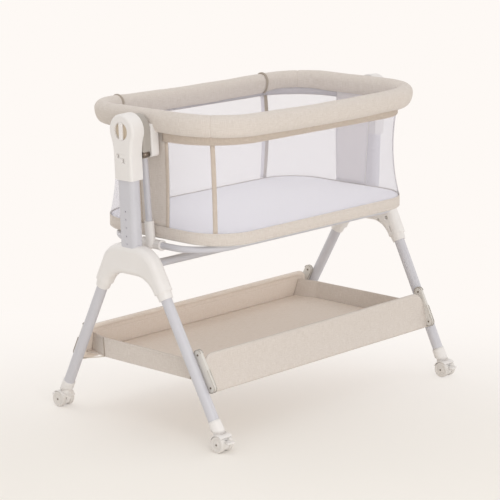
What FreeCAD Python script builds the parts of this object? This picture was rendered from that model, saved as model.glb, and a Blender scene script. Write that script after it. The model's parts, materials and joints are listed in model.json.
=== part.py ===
"""Bedside sleeper crib: a rocking, height-adjustable crib with a drop side, on two wheeled end frames.

Millimetres, +Z up. The origin is on the floor under the middle of the crib, +X runs along the crib
and +Y points to the drop side. Each end frame leans outwards a little, so its pieces are drawn in an
upright end frame of their own (x outwards, z up the lean) and then tilted and mirrored into place.
"""
import FreeCAD
import Part
import math
import os

V = FreeCAD.Vector

# --- end frames: hubs, legs, columns ---------------------------------------------------------
FOOT_HALF_LENGTH = 469.0        # X of a leg plane at the floor
FRAME_LEAN = 2.17               # degrees that each end frame leans outwards
LEG_SPLAY = 27.8                # degrees between a leg and the column
LEG_EXIT_Y = 121.0              # where a leg's axis leaves its hub
LEG_EXIT_Z = 377.0
LEG_DIAMETER = 30.0
LEG_WALL = 1.5
LEG_IN_HUB = 66.0               # length of a leg inside its hub
LEG_END_Z = 66.0                # lower end of a leg's axis, inside the foot cap
HUB_DEPTH = 45.0                # along X, both half shells together
HUB_ARM_WIDTH = 45.0            # across the leg
HUB_TOP_Z = 508.0
HUB_ARCH_Z = 427.0              # underside of the arch at its top
HUB_ARCH_STRAIGHT = 4.0         # straight stretch of the arch's side above a collar
HUB_SHOULDER_RADIUS = 76.0
HUB_EDGE_ROUND = 17.5
COLLAR_LENGTH = 20.0
COLLAR_TOP_RADIUS = 21.0
COLLAR_END_RADIUS = 19.0
COLUMN_HALF_X = 17.5
COLUMN_HALF_Y = 30.0
COLUMN_CORNER = 14.0
COLUMN_WALL = 1.8
COLUMN_BOTTOM_Z = 460.0
DETENT_COUNT = 5
DETENT_PITCH = 22.0
DETENT_HOLE_RADIUS = 2.4
DETENT_TOP_Z = 600.0
CROSSBAR_Z = 441.0
CROSSBAR_HEIGHT = 20.0
CROSSBAR_WIDTH = 26.0
CROSSBAR_WALL = 1.5
CROSSBAR_IN_HUB = 16.0
HUB_SCREW_RADIUS = 2.2
HUB_SCREW_HEAD_RADIUS = 4.2
HUB_SCREW_HEAD_HEIGHT = 3.0
HUB_SCREW_RECESS_RADIUS = 5.5
HUB_SCREW_RECESS_DEPTH = 7.0
HUB_SLOT_LENGTH = 16.0
HUB_LOW_SCREW_Y = 56.0
HUB_LOW_SCREW_Z = 430.0

# --- feet and casters ------------------------------------------------------------------------
CAP_BOTTOM_Z = 52.0
CAP_TOP_Z = 100.0
CAP_TOP_RADIUS = 16.6
CAP_BOTTOM_RADIUS = 18.6
CASTER_TRAIL = 14.0             # axle behind the swivel stem
WHEEL_RADIUS = 22.0
WHEEL_WIDTH = 14.0
WHEEL_GAP = 16.0                # between the two wheels of a caster
WHEEL_ROUND = 3.0
WHEEL_DISH_RADIUS = 16.0        # the dished ring in each wheel's outer face
WHEEL_HUB_RADIUS = 8.0
WHEEL_DISH_DEPTH = 1.2
AXLE_RADIUS = 3.0
RUNNING_GAP = 0.05              # radial, for shafts that turn in a bore
MOVING_GAP = 0.6                # between faces that pass each other
WEB_RADIUS = 19.0
HOOD_GAP = 1.0
HOOD_THICKNESS = 2.2
STEM_RADIUS = 5.5
STEM_LENGTH = 22.0
PEDAL_PIVOT_RADIUS = 14.5       # from the axle
PEDAL_PIVOT_ANGLE = 32.0        # degrees above the horizontal, behind the axle
PEDAL_PIN_RADIUS = 1.6
PEDAL_LENGTH = 23.0
PEDAL_WIDTH = 24.0
PEDAL_THICKNESS = 4.5

# --- risers and heads ------------------------------------------------------------------------
RISER_GAP = 0.3                 # around the riser inside its column
RISER_WALL = 1.6
RISER_BOTTOM_Z = 474.0
RISER_IN_HEAD = 34.0
HEAD_Z = 814.0                  # rocking axis, centre of the head's round top
HEAD_RADIUS = 44.5
HEAD_DEPTH = 43.0
HEAD_COVER_DEPTH = 15.0
HEAD_NECK_HALF = 33.0
HEAD_BLEND_RADIUS = 150.0
HEAD_BOTTOM_Z = HEAD_Z - 130.0
COVER_BOTTOM_Z = HEAD_Z - 92.0
COLUMN_IN_HEAD = 20.0
COLUMN_TOP_Z = HEAD_BOTTOM_Z + COLUMN_IN_HEAD
HEAD_EDGE_ROUND = 7.0
SKIRT_CLEARANCE = 0.5
GRIP_RADIUS = 23.2
GRIP_RECESS_DEPTH = 9.0
GRIP_DISC_THICKNESS = 3.0
GRIP_BAR_WIDTH = 12.0
GRIP_BAR_HEIGHT = 8.0
GRIP_TRAVEL = 5.0
LOCK_Y = -26.0                  # lock pin's axis in the end frame
LOCK_Z = HEAD_Z - 66.0
LOCK_PIN_RADIUS = 3.5
LOCK_TRAVEL = 12.0              # how far the pin draws back
SLOT_LOW_Y = -15.0              # the lock slider's slot in the head cover
SLOT_HIGH_Y = 19.0
SLOT_HEIGHT = 11.0
SLOT_DEPTH = 6.0
SLIDER_LENGTH = 25.0
SLIDER_TRAVEL = 8.0
SLIDER_GAP = 0.4                # around the slider in its slot
HOOK_WIDTH = 7.0                # the slider's turned-down end
HOOK_DROP = 12.0
LOCK_HOLE_RADIUS = 8.5
LOCK_ENGAGEMENT = 11.0
PIVOT_RADIUS = 9.0
PIVOT_ENGAGEMENT = 22.0

# --- crib ------------------------------------------------------------------------------------
RIM_Z = HEAD_Z + 19.0           # centre of the padded rim at the two ends
RIM_SAG = 8.0                   # how much lower the rim is in the middle of a long side
END_ROOM = 43.0                 # from a leg plane at the floor to the rim's centre line
RIM_HALF_LENGTH = FOOT_HALF_LENGTH - END_ROOM
RIM_HALF_WIDTH = 252.0
RIM_CORNER = 136.0
PAD_HALF_WIDTH = 22.5
PAD_TOP = 30.0                  # above the centre line
PAD_BOTTOM = 30.0
RIM_TUBE_RADIUS = 8.0
RIM_TUBE_DROP = 4.0             # tube centre below the pad's centre line
WALL_TOP_Z = RIM_Z - 15.0       # hidden in the pad
BAND_TOP_Z = 547.0
BAND_BOTTOM_Z = 515.0
BOTTOM_HALF_LENGTH = RIM_HALF_LENGTH - 23.0     # outside of the cloth wall at the band's lower edge
BOTTOM_HALF_WIDTH = RIM_HALF_WIDTH - 7.0
BOTTOM_CORNER = 118.0
WALL_TOP_INSET = 8.0            # the cloth wall hangs this far inside the rim's centre line
WALL_TOP_CORNER = 146.0
WALL_BOW = 4.0                  # how far the taut cloth draws in at half height
CORNER_BOW = 26.0               # and how much rounder its corners get there
WALL_STEPS = 6
MESH_THICKNESS = 1.2
CLOTH_THICKNESS = 2.4
BINDING_WIDTH = 12.0
BINDING_THICKNESS = 1.0
SEWN_GAP = 0.1                  # between two cloth faces sewn together
ZIP_BAND_HEIGHT = 40.0
ZIP_BAND_THICKNESS = 2.5
PANEL_TOP_HALF = 92.0            # end panels narrow towards the bottom
PANEL_BOTTOM_HALF = 66.0
DROP_END_ROOM = 2.0             # straight rim left beyond each end of the drop side
DROP_HALF_LENGTH = RIM_HALF_LENGTH - RIM_CORNER - DROP_END_ROOM
DROP_GAP = 0.8                  # between the drop side and its neighbours
CORNER_STRIP_ANGLE = 40.0       # degrees round each corner, from the end
BOARD_THICKNESS = 6.0
SOFT_GAP = 0.5
MATTRESS_THICKNESS = 25.0
MATTRESS_CROWN = 5.0
RING_RADIUS = 9.0
RING_WALL = 1.5
RING_HALF_LENGTH = RIM_HALF_LENGTH - 15.0
RING_HALF_WIDTH = RIM_HALF_WIDTH - 52.0
RING_CORNER = 120.0
RING_END_Z = 497.0
RING_RISE_ANGLE = 3.0           # degrees that each end of the ring dips
POST_RADIUS = 9.0
POST_WALL = 1.5
POST_TOP = (RIM_HALF_LENGTH + 16.0, HEAD_Z - 22.0)      # x and z of the post's axis, upper end
POST_BOTTOM = (RING_HALF_LENGTH + 10.0, 527.0)
FITTING_RADIUS = 13.0
FITTING_TOP_Z = 562.0
FITTING_HALF_WIDTH = 36.0
FITTING_LIP = 3.0
BARREL_DEPTH = 15.0
BARREL_HALF_WIDTH = 38.0
BARREL_BOTTOM_Z = HEAD_Z - 78.0
BRACKET_HALF_WIDTH = 46.0
BRACKET_TOP_Z = HEAD_Z + 22.0
BRACKET_BOTTOM_Z = HEAD_Z - 76.0
BRACKET_CORNER = 9.0

# --- basket ----------------------------------------------------------------------------------
BASKET_TOP = (222.0, 239.0)     # y and z of a side frame's upper edge
BASKET_BOTTOM = (247.0, 141.0)
BASKET_TUBE_RADIUS = 5.0
BASKET_TOP_CORNER = 36.0
BASKET_LOW_CORNER = 14.0
HEM_THICKNESS = 1.6
BASKET_CLOTH = 2.5
BASKET_END_X = FOOT_HALF_LENGTH - 27.0
BASKET_END_TOP_Z = 215.0
BASKET_FLOOR_Z = 163.0
BASKET_SEAM_Y = 168.0           # corner seams of the end walls
BRACKET_PLATE = 9.0
BRACKET_LEG_SEAT = 1.5          # depth of the groove in which the leg lies
BRACKET_FRAME_SEAT = 2.5        # how deep a side frame sits in its bracket
BRACKET_LENGTH = 124.0
BRACKET_WIDTH = 32.0
BRACKET_OFFSET = 19.0           # from the leg's axis to the bracket's, outwards
BRACKET_MIDDLE_Z = 190.0
CORD_RADIUS = 1.5
CORD_BRACKET_Z = 142.0           # where a cord meets its bracket

END_SIDES = (("left", -1), ("right", 1))
LONG_SIDES = (("front", -1), ("back", 1))
sin_lean = math.sin(math.radians(FRAME_LEAN))
cos_lean = math.cos(math.radians(FRAME_LEAN))
sin_splay = math.sin(math.radians(LEG_SPLAY))
cos_splay = math.cos(math.radians(LEG_SPLAY))


# --- small geometry helpers ------------------------------------------------------------------
def tilt(shape):
    """Lean a piece drawn in the upright end frame and stand it on the right-hand feet."""
    placed = shape.copy()
    placed.rotate(V(0, 0, 0), V(0, 1, 0), FRAME_LEAN)
    placed.translate(V(FOOT_HALF_LENGTH, 0, 0))
    return placed


def to_end(shape, side):
    """Place a piece of the end frame at the left (-1) or the right (+1)."""
    placed = tilt(shape)
    return placed if side > 0 else placed.mirror(V(0, 0, 0), V(1, 0, 0))


def mirrored(shape, side, normal):
    return shape if side > 0 else shape.mirror(V(0, 0, 0), normal)


def box(low, high):
    size = [b - a for a, b in zip(low, high)]
    return Part.makeBox(size[0], size[1], size[2], V(*low))


def rounded_wire(half_x, half_y, radius, z):
    """Rounded rectangle at height z, from eight edges in the same order each time."""
    edges = []
    corners = ((1, 1, 0), (-1, 1, 90), (-1, -1, 180), (1, -1, 270))
    points = []
    for sign_x, sign_y, start in corners:
        centre = V(sign_x * (half_x - radius), sign_y * (half_y - radius), z)
        on_arc = []
        for step in (0, 45, 90):
            angle = math.radians(start + step)
            on_arc.append(centre + V(math.cos(angle), math.sin(angle), 0) * radius)
        points.append(on_arc)
    for index, on_arc in enumerate(points):
        edges.append(Part.Arc(*on_arc).toShape())
        edges.append(Part.makeLine(on_arc[2], points[(index + 1) % 4][0]))
    return Part.Wire(edges)


def rounded_prism(half_x, half_y, radius, z_low, z_high):
    face = Part.Face(rounded_wire(half_x, half_y, radius, z_low))
    return face.extrude(V(0, 0, z_high - z_low))


def rod(start, end, radius):
    along = end - start
    return Part.makeCylinder(radius, along.Length, start, along)


def tube(start, end, radius, wall):
    return rod(start, end, radius).cut(rod(start, end, radius - wall))


def pipe(path, radius):
    """Round rod along a wire of tangent lines and arcs."""
    first = path.OrderedEdges[0]
    start = first.valueAt(first.FirstParameter)
    direction = first.tangentAt(first.FirstParameter)
    if first.Orientation == "Reversed":
        start = first.valueAt(first.LastParameter)
        direction = first.tangentAt(first.LastParameter) * -1
    circle = Part.Wire(Part.makeCircle(radius, start, direction))
    return Part.Wire(path).makePipeShell([circle], True, False)


def yz_prism(wire_edges, x_low, x_high):
    """Extrude a closed outline in the YZ plane along X."""
    face = Part.Face(Part.Wire(wire_edges))
    face.translate(V(x_low, 0, 0))
    return face.extrude(V(x_high - x_low, 0, 0))


def long_edges(shape, x_face):
    """Edges that lie in the plane x = x_face."""
    found = []
    for edge in shape.Edges:
        bound = edge.BoundBox
        if abs(bound.XMin - x_face) < 1e-4 and abs(bound.XMax - x_face) < 1e-4:
            found.append(edge)
    return found


def save(name, *solids):
    shape = solids[0] if len(solids) == 1 else Part.makeCompound(list(solids))
    shape.exportStep(os.path.join("parts", name + ".step"))


# --- legs and hubs ---------------------------------------------------------------------------
def leg_axis(z, side=1):
    """Point of a leg's axis at height z in the end frame."""
    return V(0, side * (LEG_EXIT_Y + (LEG_EXIT_Z - z) * sin_splay / cos_splay), z)


def leg_direction(side=1):
    return V(0, side * sin_splay, -cos_splay)


def leg_top(side=1):
    return leg_axis(LEG_EXIT_Z, side) - leg_direction(side) * LEG_IN_HUB


def leg_tube(side):
    return tube(leg_top(side), leg_axis(LEG_END_Z, side), LEG_DIAMETER / 2, LEG_WALL)


def hub_half_outline():
    """Points and arcs of the hub's +Y half: shoulder, arm and inside of the arch."""
    half = HUB_ARM_WIDTH / 2
    exit_point = leg_axis(LEG_EXIT_Z) - leg_direction() * COLLAR_LENGTH
    across = V(0, cos_splay, sin_splay)
    outer_end = exit_point + across * half
    inner_end = exit_point - across * half
    up_arm = leg_direction() * -1
    turn = math.radians(90 - LEG_SPLAY)
    corner = outer_end + up_arm * ((HUB_TOP_Z - outer_end.z) / up_arm.z)
    shoulder_reach = HUB_SHOULDER_RADIUS * math.tan(turn / 2)
    shoulder_start = corner - V(0, shoulder_reach, 0)
    shoulder_end = corner - up_arm * shoulder_reach
    shoulder_centre = shoulder_start - V(0, 0, HUB_SHOULDER_RADIUS)
    bisector = V(0, math.sin(turn / 2), math.cos(turn / 2))
    shoulder_mid = shoulder_centre + bisector * HUB_SHOULDER_RADIUS
    arch_corner = inner_end + up_arm * ((HUB_ARCH_Z - inner_end.z) / up_arm.z)
    arch_reach = arch_corner.distanceToPoint(inner_end) - HUB_ARCH_STRAIGHT
    arch_radius = arch_reach / math.tan(turn / 2)
    arch_end = arch_corner - up_arm * arch_reach
    arch_start = arch_corner - V(0, arch_reach, 0)
    arch_mid = arch_start - V(0, 0, arch_radius) + bisector * arch_radius
    return {
        "top": (V(0, 0, HUB_TOP_Z), shoulder_start),
        "shoulder": (shoulder_start, shoulder_mid, shoulder_end),
        "arm": (shoulder_end, outer_end),
        "end": (outer_end, inner_end),
        "inside": (inner_end, arch_end),
        "arch": (arch_end, arch_mid, arch_start),
        "crown": (arch_start, V(0, 0, HUB_ARCH_Z)),
    }


def hub_outline():
    edges = []
    for sign in (1, -1):
        for points in hub_half_outline().values():
            placed = [V(p.x, sign * p.y, p.z) for p in points]
            if len(placed) == 3:
                edges.append(Part.Arc(*placed).toShape())
            elif placed[0].distanceToPoint(placed[1]) > 1e-6:
                edges.append(Part.makeLine(*placed))
    return Part.__sortEdges__(edges)


def hub_screw_places():
    """Centres of the hub's screws in its YZ plane."""
    places = []
    for sign in (1, -1):
        high = leg_axis(LEG_EXIT_Z, sign) - leg_direction(sign) * (LEG_IN_HUB + HUB_SCREW_RECESS_RADIUS + 3)
        places.append(high)
        places.append(V(0, sign * HUB_LOW_SCREW_Y, HUB_LOW_SCREW_Z))
    return places


def hub_blank():
    half = HUB_DEPTH / 2
    blank = yz_prism(hub_outline(), -half, half)
    rounded = long_edges(blank, half) + long_edges(blank, -half)
    rounded = [edge for edge in rounded if not is_arm_end(edge)]
    return blank.makeFillet(HUB_EDGE_ROUND, rounded)


def is_arm_end(edge):
    """True for the square edges where a leg leaves the hub."""
    start, end = edge.Vertexes[0].Point, edge.Vertexes[-1].Point
    length = start.distanceToPoint(end)
    return abs(length - HUB_ARM_WIDTH) < 0.01 and abs(abs(start.z - end.z) - HUB_ARM_WIDTH * sin_splay) < 0.01


def hub_shells():
    """Outer and inner half shells, with sockets for legs, column and crossbar."""
    body = hub_blank()
    for sign in (1, -1):
        body = body.cut(rod(leg_top(sign), leg_axis(LEG_EXIT_Z - 60, sign), LEG_DIAMETER / 2))
    body = body.cut(rounded_prism(COLUMN_HALF_X, COLUMN_HALF_Y, COLUMN_CORNER, COLUMN_BOTTOM_Z, HUB_TOP_Z + 5))
    half = HUB_DEPTH / 2
    reach = 400.0
    outer = body.common(box((0, -reach, 0), (half + 1, reach, COLUMN_TOP_Z)))
    inner = body.common(box((-half - 1, -reach, 0), (0, reach, COLUMN_TOP_Z)))
    for place in hub_screw_places():
        shank_start = place + V(-half - 1, 0, 0)
        recess_end = place + V(-half + HUB_SCREW_RECESS_DEPTH, 0, 0)
        inner = inner.cut(rod(shank_start, recess_end, HUB_SCREW_RECESS_RADIUS))
        inner = inner.cut(rod(shank_start, place, HUB_SCREW_RADIUS))
        outer = outer.cut(rod(place, place + V(half * 0.5, 0, 0), HUB_SCREW_RADIUS))
    for sign in (1, -1):
        slot_middle = leg_axis(LEG_EXIT_Z + 34, sign) + V(-half - 1, 0, 0)
        slot = box((0, -2.6, -HUB_SLOT_LENGTH / 2), (5.0, 2.6, HUB_SLOT_LENGTH / 2))
        slot.rotate(V(0, 0, 0), V(1, 0, 0), sign * LEG_SPLAY)
        slot.translate(slot_middle)
        inner = inner.cut(slot)
    return outer, inner


def hub_screws_local():
    """The screws that hold a hub's two shells together."""
    screws = []
    half = HUB_DEPTH / 2
    for place in hub_screw_places():
        seat = place + V(-half + HUB_SCREW_RECESS_DEPTH, 0, 0)
        head_start = seat - V(HUB_SCREW_HEAD_HEIGHT, 0, 0)
        head = rod(head_start, seat, HUB_SCREW_HEAD_RADIUS)
        shank = rod(seat, place + V(half * 0.5, 0, 0), HUB_SCREW_RADIUS)
        screws.append(head.fuse(shank).removeSplitter())
    return screws


def collar(side):
    """Ring that closes the hub's arm round the leg."""
    end = leg_axis(LEG_EXIT_Z, side)
    start = end - leg_direction(side) * COLLAR_LENGTH
    ring = Part.makeCone(COLLAR_TOP_RADIUS, COLLAR_END_RADIUS, COLLAR_LENGTH, start, leg_direction(side))
    ring = ring.cut(rod(start - leg_direction(side), end + leg_direction(side), LEG_DIAMETER / 2))
    return ring


def rounded_x_bar(x_low, x_high, inset):
    """Flat-oval bar along X at the crossbar's height."""
    bar = rounded_prism(CROSSBAR_HEIGHT / 2 - inset, CROSSBAR_WIDTH / 2 - inset,
                        CROSSBAR_HEIGHT / 2 - inset - 0.5, x_low, x_high)
    bar.rotate(V(0, 0, 0), V(0, 1, 0), 90)
    bar.translate(V(0, 0, CROSSBAR_Z))
    return bar


def crossbar_half_length():
    return FOOT_HALF_LENGTH + CROSSBAR_Z * sin_lean - HUB_DEPTH / 2 + CROSSBAR_IN_HUB


def column():
    shell = rounded_prism(COLUMN_HALF_X, COLUMN_HALF_Y, COLUMN_CORNER, COLUMN_BOTTOM_Z, COLUMN_TOP_Z)
    bore = rounded_prism(COLUMN_HALF_X - COLUMN_WALL, COLUMN_HALF_Y - COLUMN_WALL,
                         COLUMN_CORNER - COLUMN_WALL, COLUMN_BOTTOM_Z, COLUMN_TOP_Z)
    shell = shell.cut(bore)
    for index in range(DETENT_COUNT):
        z = DETENT_TOP_Z - index * DETENT_PITCH
        start = V(COLUMN_HALF_X - COLUMN_WALL - 1, 0, z)
        shell = shell.cut(rod(start, start + V(COLUMN_WALL + 2, 0, 0), DETENT_HOLE_RADIUS))
    return shell


# --- casters ---------------------------------------------------------------------------------
CASTER_X = FOOT_HALF_LENGTH + CAP_BOTTOM_Z * sin_lean / cos_lean
CASTER_Y = leg_axis(CAP_BOTTOM_Z).y
AXLE_Y = CASTER_Y + CASTER_TRAIL
AXLE = V(0, AXLE_Y, WHEEL_RADIUS)
WEB_HALF = WHEEL_GAP / 2 - MOVING_GAP
CASTER_HALF = WHEEL_GAP / 2 + WHEEL_WIDTH


def x_cylinder(centre, radius, x_low, x_high):
    return Part.makeCylinder(radius, x_high - x_low, V(x_low, centre.y, centre.z), V(1, 0, 0))


def pedal_pivot():
    angle = math.radians(PEDAL_PIVOT_ANGLE)
    return AXLE + V(0, math.cos(angle), math.sin(angle)) * PEDAL_PIVOT_RADIUS


def wheel_profile(x_low, x_high):
    """Section (x, radius) of a wheel with bevelled tread edges and a dished outer face."""
    bevel = WHEEL_ROUND / 3
    return [(x_low, 0), (x_low, WHEEL_RADIUS - WHEEL_ROUND), (x_low + bevel, WHEEL_RADIUS - bevel),
            (x_low + WHEEL_ROUND, WHEEL_RADIUS), (x_high - WHEEL_ROUND, WHEEL_RADIUS),
            (x_high - bevel, WHEEL_RADIUS - bevel), (x_high, WHEEL_RADIUS - WHEEL_ROUND),
            (x_high, WHEEL_DISH_RADIUS), (x_high - WHEEL_DISH_DEPTH, WHEEL_DISH_RADIUS - WHEEL_DISH_DEPTH),
            (x_high - WHEEL_DISH_DEPTH, WHEEL_HUB_RADIUS + WHEEL_DISH_DEPTH), (x_high, WHEEL_HUB_RADIUS),
            (x_high, 0)]


def caster_wheels():
    """Two wheels on one axle, drawn about x = 0."""
    corners = [V(x, 0, radius) for x, radius in wheel_profile(WHEEL_GAP / 2, CASTER_HALF)]
    wheel = Part.Face(Part.makePolygon(corners + corners[:1])).revolve(V(0, 0, 0), V(1, 0, 0), 360)
    wheel.translate(AXLE)
    inside = CASTER_HALF - WHEEL_DISH_DEPTH * 2
    pair = x_cylinder(AXLE, AXLE_RADIUS, -inside, inside)
    return pair.fuse([wheel, wheel.mirror(V(0, 0, 0), V(1, 0, 0))])


def caster_fork():
    """Web between the wheels, hood over them and the swivel stem."""
    web = x_cylinder(AXLE, WEB_RADIUS, -WEB_HALF, WEB_HALF)
    outer = x_cylinder(AXLE, WHEEL_RADIUS + HOOD_GAP + HOOD_THICKNESS, -CASTER_HALF, CASTER_HALF)
    inner = x_cylinder(AXLE, WHEEL_RADIUS + HOOD_GAP, -CASTER_HALF - 1, CASTER_HALF + 1)
    hood = outer.cut(inner)
    hood = hood.common(box((-60, AXLE_Y - 40, WHEEL_RADIUS + 8), (60, AXLE_Y + 15, CAP_BOTTOM_Z + 20)))
    neck = box((-WEB_HALF, AXLE_Y - WHEEL_RADIUS, WHEEL_RADIUS), (WEB_HALF, AXLE_Y + 8, WHEEL_RADIUS * 2 + 2))
    seat_low = WHEEL_RADIUS * 2 - 4
    boss = Part.makeCylinder(13.0, CAP_BOTTOM_Z - MOVING_GAP - seat_low, V(0, CASTER_Y, seat_low))
    boss = boss.cut(inner.cut(x_cylinder(AXLE, WHEEL_RADIUS + HOOD_GAP, -WEB_HALF, WEB_HALF)))
    stem = Part.makeCylinder(STEM_RADIUS, STEM_LENGTH, V(0, CASTER_Y, CAP_BOTTOM_Z - MOVING_GAP - 2))
    fork = web.fuse([hood, neck, boss, stem]).removeSplitter()
    fork = fork.cut(x_cylinder(AXLE, AXLE_RADIUS + RUNNING_GAP, -CASTER_HALF, CASTER_HALF))
    pivot = pedal_pivot()
    room = x_cylinder(pivot, PEDAL_THICKNESS / 2 + 3.0, -WEB_HALF + 2.4, WEB_HALF - 2.4)
    slot = box((-WEB_HALF + 2.4, pivot.y, pivot.z - PEDAL_THICKNESS / 2 - 4.6),
               (WEB_HALF - 2.4, pivot.y + 30, pivot.z + PEDAL_THICKNESS / 2 + 2.0))
    fork = fork.cut(room).cut(slot)
    return fork.cut(x_cylinder(pivot, PEDAL_PIN_RADIUS + RUNNING_GAP, -WEB_HALF, WEB_HALF))


def caster_brake():
    """Foot pedal that hinges on the fork behind the wheels."""
    pivot = pedal_pivot()
    half = WEB_HALF - 2.4 - 0.4
    thick = PEDAL_THICKNESS / 2
    clear_of_wheels = WHEEL_RADIUS + HOOD_GAP + 1.5
    tip_y = AXLE_Y + clear_of_wheels
    arm = box((-half, pivot.y, pivot.z - thick), (half, tip_y + 2, pivot.z + thick))
    knuckle = x_cylinder(pivot, thick, -half, half)
    pin = x_cylinder(pivot, PEDAL_PIN_RADIUS, -WEB_HALF + 0.4, WEB_HALF - 0.4)
    pad_length = pivot.y + PEDAL_LENGTH - tip_y
    pad = box((-PEDAL_WIDTH / 2, tip_y, pivot.z - thick), (PEDAL_WIDTH / 2, tip_y + pad_length, pivot.z + thick))
    upright = [e for e in pad.Edges if abs(e.BoundBox.ZLength - PEDAL_THICKNESS) < 0.01
               and e.BoundBox.YMin > tip_y + 1]
    pad = pad.makeFillet(4.0, upright)
    return arm.fuse([knuckle, pin, pad]).removeSplitter()


def foot_cap():
    """Moulded cap on a leg's end, with the caster's stem socket, for the right back foot."""
    low = leg_axis(CAP_BOTTOM_Z - 24)
    high = leg_axis(CAP_TOP_Z)
    cap = Part.makeCone(CAP_BOTTOM_RADIUS, CAP_TOP_RADIUS, (high - low).Length, low, high - low)
    cap = cap.cut(rod(leg_axis(LEG_END_Z), leg_axis(CAP_TOP_Z + 20), LEG_DIAMETER / 2))
    cap = tilt(cap)
    cap = cap.cut(box((0, 0, -50), (900, 900, CAP_BOTTOM_Z)))
    socket = Part.makeCylinder(STEM_RADIUS + RUNNING_GAP, STEM_LENGTH, V(CASTER_X, CASTER_Y, CAP_BOTTOM_Z - 1))
    return cap.cut(socket)


# --- heads -----------------------------------------------------------------------------------
def head_outline():
    """Light-bulb outline: round top, hollow shoulders and a straight skirt."""
    neck = HEAD_NECK_HALF
    blend = HEAD_BLEND_RADIUS
    drop = math.sqrt((HEAD_RADIUS + blend) ** 2 - (neck + blend) ** 2)
    blend_centre = V(0, neck + blend, HEAD_Z - drop)
    head_centre = V(0, 0, HEAD_Z)
    to_blend = (blend_centre - head_centre).normalize()
    meet = head_centre + to_blend * HEAD_RADIUS
    neck_top = V(0, neck, HEAD_Z - drop)
    half_way = ((meet - blend_centre) + (neck_top - blend_centre)).normalize()
    blend_mid = blend_centre + half_way * blend
    edges = [Part.makeLine(V(0, neck, HEAD_BOTTOM_Z), neck_top), Part.Arc(neck_top, blend_mid, meet).toShape()]
    flip = [V(0, -p.y, p.z) for p in (V(0, neck, HEAD_BOTTOM_Z), neck_top, blend_mid, meet)]
    crown = head_centre + V(0, 0, HEAD_RADIUS)
    edges.append(Part.Arc(meet, crown, flip[3]).toShape())
    edges.append(Part.Arc(flip[3], flip[2], flip[1]).toShape())
    edges.append(Part.makeLine(flip[1], flip[0]))
    edges.append(Part.makeLine(flip[0], V(0, neck, HEAD_BOTTOM_Z)))
    return edges


def riser(inset=0.0):
    """Inner oval tube that slides in the column; a positive inset gives its bore."""
    gap = COLUMN_WALL + RISER_GAP + inset
    return rounded_prism(COLUMN_HALF_X - gap, COLUMN_HALF_Y - gap, COLUMN_CORNER - gap,
                         RISER_BOTTOM_Z, COLUMN_TOP_Z + RISER_IN_HEAD)


def lock_pin():
    """Straight pin through the head into the crib's pivot barrel, which stops the rocking."""
    face = HEAD_DEPTH / 2
    start = V(-face - MOVING_GAP - LOCK_ENGAGEMENT, LOCK_Y, LOCK_Z)
    end = V(face - HEAD_COVER_DEPTH, LOCK_Y, LOCK_Z)
    return rod(start, end, LOCK_PIN_RADIUS)


def slot_outline(high_y, hook_width, gap):
    """Outline of a bar along Y with its -Y end turned down, made smaller all round by gap."""
    top = LOCK_Z + SLOT_HEIGHT / 2 - gap
    low = LOCK_Z - SLOT_HEIGHT / 2 + gap
    tip = LOCK_Z - SLOT_HEIGHT / 2 - HOOK_DROP + gap
    left, right, hook = SLOT_LOW_Y + gap, high_y - gap, SLOT_LOW_Y + hook_width - gap
    corner = HOOK_WIDTH / 2 - gap
    inset = corner * (1 - math.sqrt(0.5))
    edges = [
        Part.Arc(V(0, left, tip + corner), V(0, left + inset, tip + inset), V(0, left + corner, tip)).toShape(),
        Part.Arc(V(0, hook - corner, tip), V(0, hook - inset, tip + inset), V(0, hook, tip + corner)).toShape(),
    ]
    if hook - left > 2 * corner + 0.01:
        edges.append(Part.makeLine(V(0, left + corner, tip), V(0, hook - corner, tip)))
    corners = [V(0, hook, tip + corner), V(0, hook, low), V(0, right, low), V(0, right, top), V(0, left, top),
               V(0, left, tip + corner)]
    return Part.__sortEdges__(edges + Part.makePolygon(corners).Edges)


def lock_slider():
    """Flat slider with a hooked end in the head cover's slot; it draws the lock pin back."""
    face = HEAD_DEPTH / 2
    edges = slot_outline(SLOT_LOW_Y + SLIDER_LENGTH, HOOK_WIDTH, SLIDER_GAP)
    return yz_prism(edges, face - SLOT_DEPTH + RUNNING_GAP, face - SLIDER_GAP)


def head_solid():
    """The whole head before it is split into housing and cover."""
    half = HEAD_DEPTH / 2
    blank = yz_prism(head_outline(), -half, half)
    rounded = [e for e in long_edges(blank, half) if e.BoundBox.ZMax > HEAD_BOTTOM_Z + 1]
    blank = blank.makeFillet(HEAD_EDGE_ROUND, rounded)
    inner_edges = [e for e in long_edges(blank, -half) if e.BoundBox.ZMax > HEAD_BOTTOM_Z + 1]
    blank = blank.makeFillet(2.5, inner_edges)
    skirt = rounded_prism(COLUMN_HALF_X + SKIRT_CLEARANCE, COLUMN_HALF_Y + SKIRT_CLEARANCE,
                          COLUMN_CORNER + SKIRT_CLEARANCE, HEAD_BOTTOM_Z - 1, COLUMN_TOP_Z + 1.0)
    blank = blank.cut(skirt).cut(riser())
    recess = x_cylinder(V(0, 0, HEAD_Z), GRIP_RADIUS + 0.4, half - GRIP_RECESS_DEPTH, half + 1)
    shaft_hole = x_cylinder(V(0, 0, HEAD_Z), 6.0 + RUNNING_GAP, half - GRIP_RECESS_DEPTH - 9, half)
    blank = blank.cut(recess).cut(shaft_hole)
    pin_room = half - HEAD_COVER_DEPTH + LOCK_TRAVEL + 1
    hole = x_cylinder(V(0, LOCK_Y, LOCK_Z), LOCK_PIN_RADIUS + RUNNING_GAP, -half - 1, pin_room)
    slot = yz_prism(slot_outline(SLOT_HIGH_Y, HOOK_WIDTH + SLIDER_TRAVEL, 0), half - SLOT_DEPTH, half + 1)
    return blank.cut(hole).cut(slot)


def pivot_axis_z():
    return HEAD_Z * cos_lean


def pivot_x():
    """X of the head's inner face on the rocking axis."""
    return FOOT_HALF_LENGTH + HEAD_Z * sin_lean - HEAD_DEPTH / 2 / cos_lean


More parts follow.
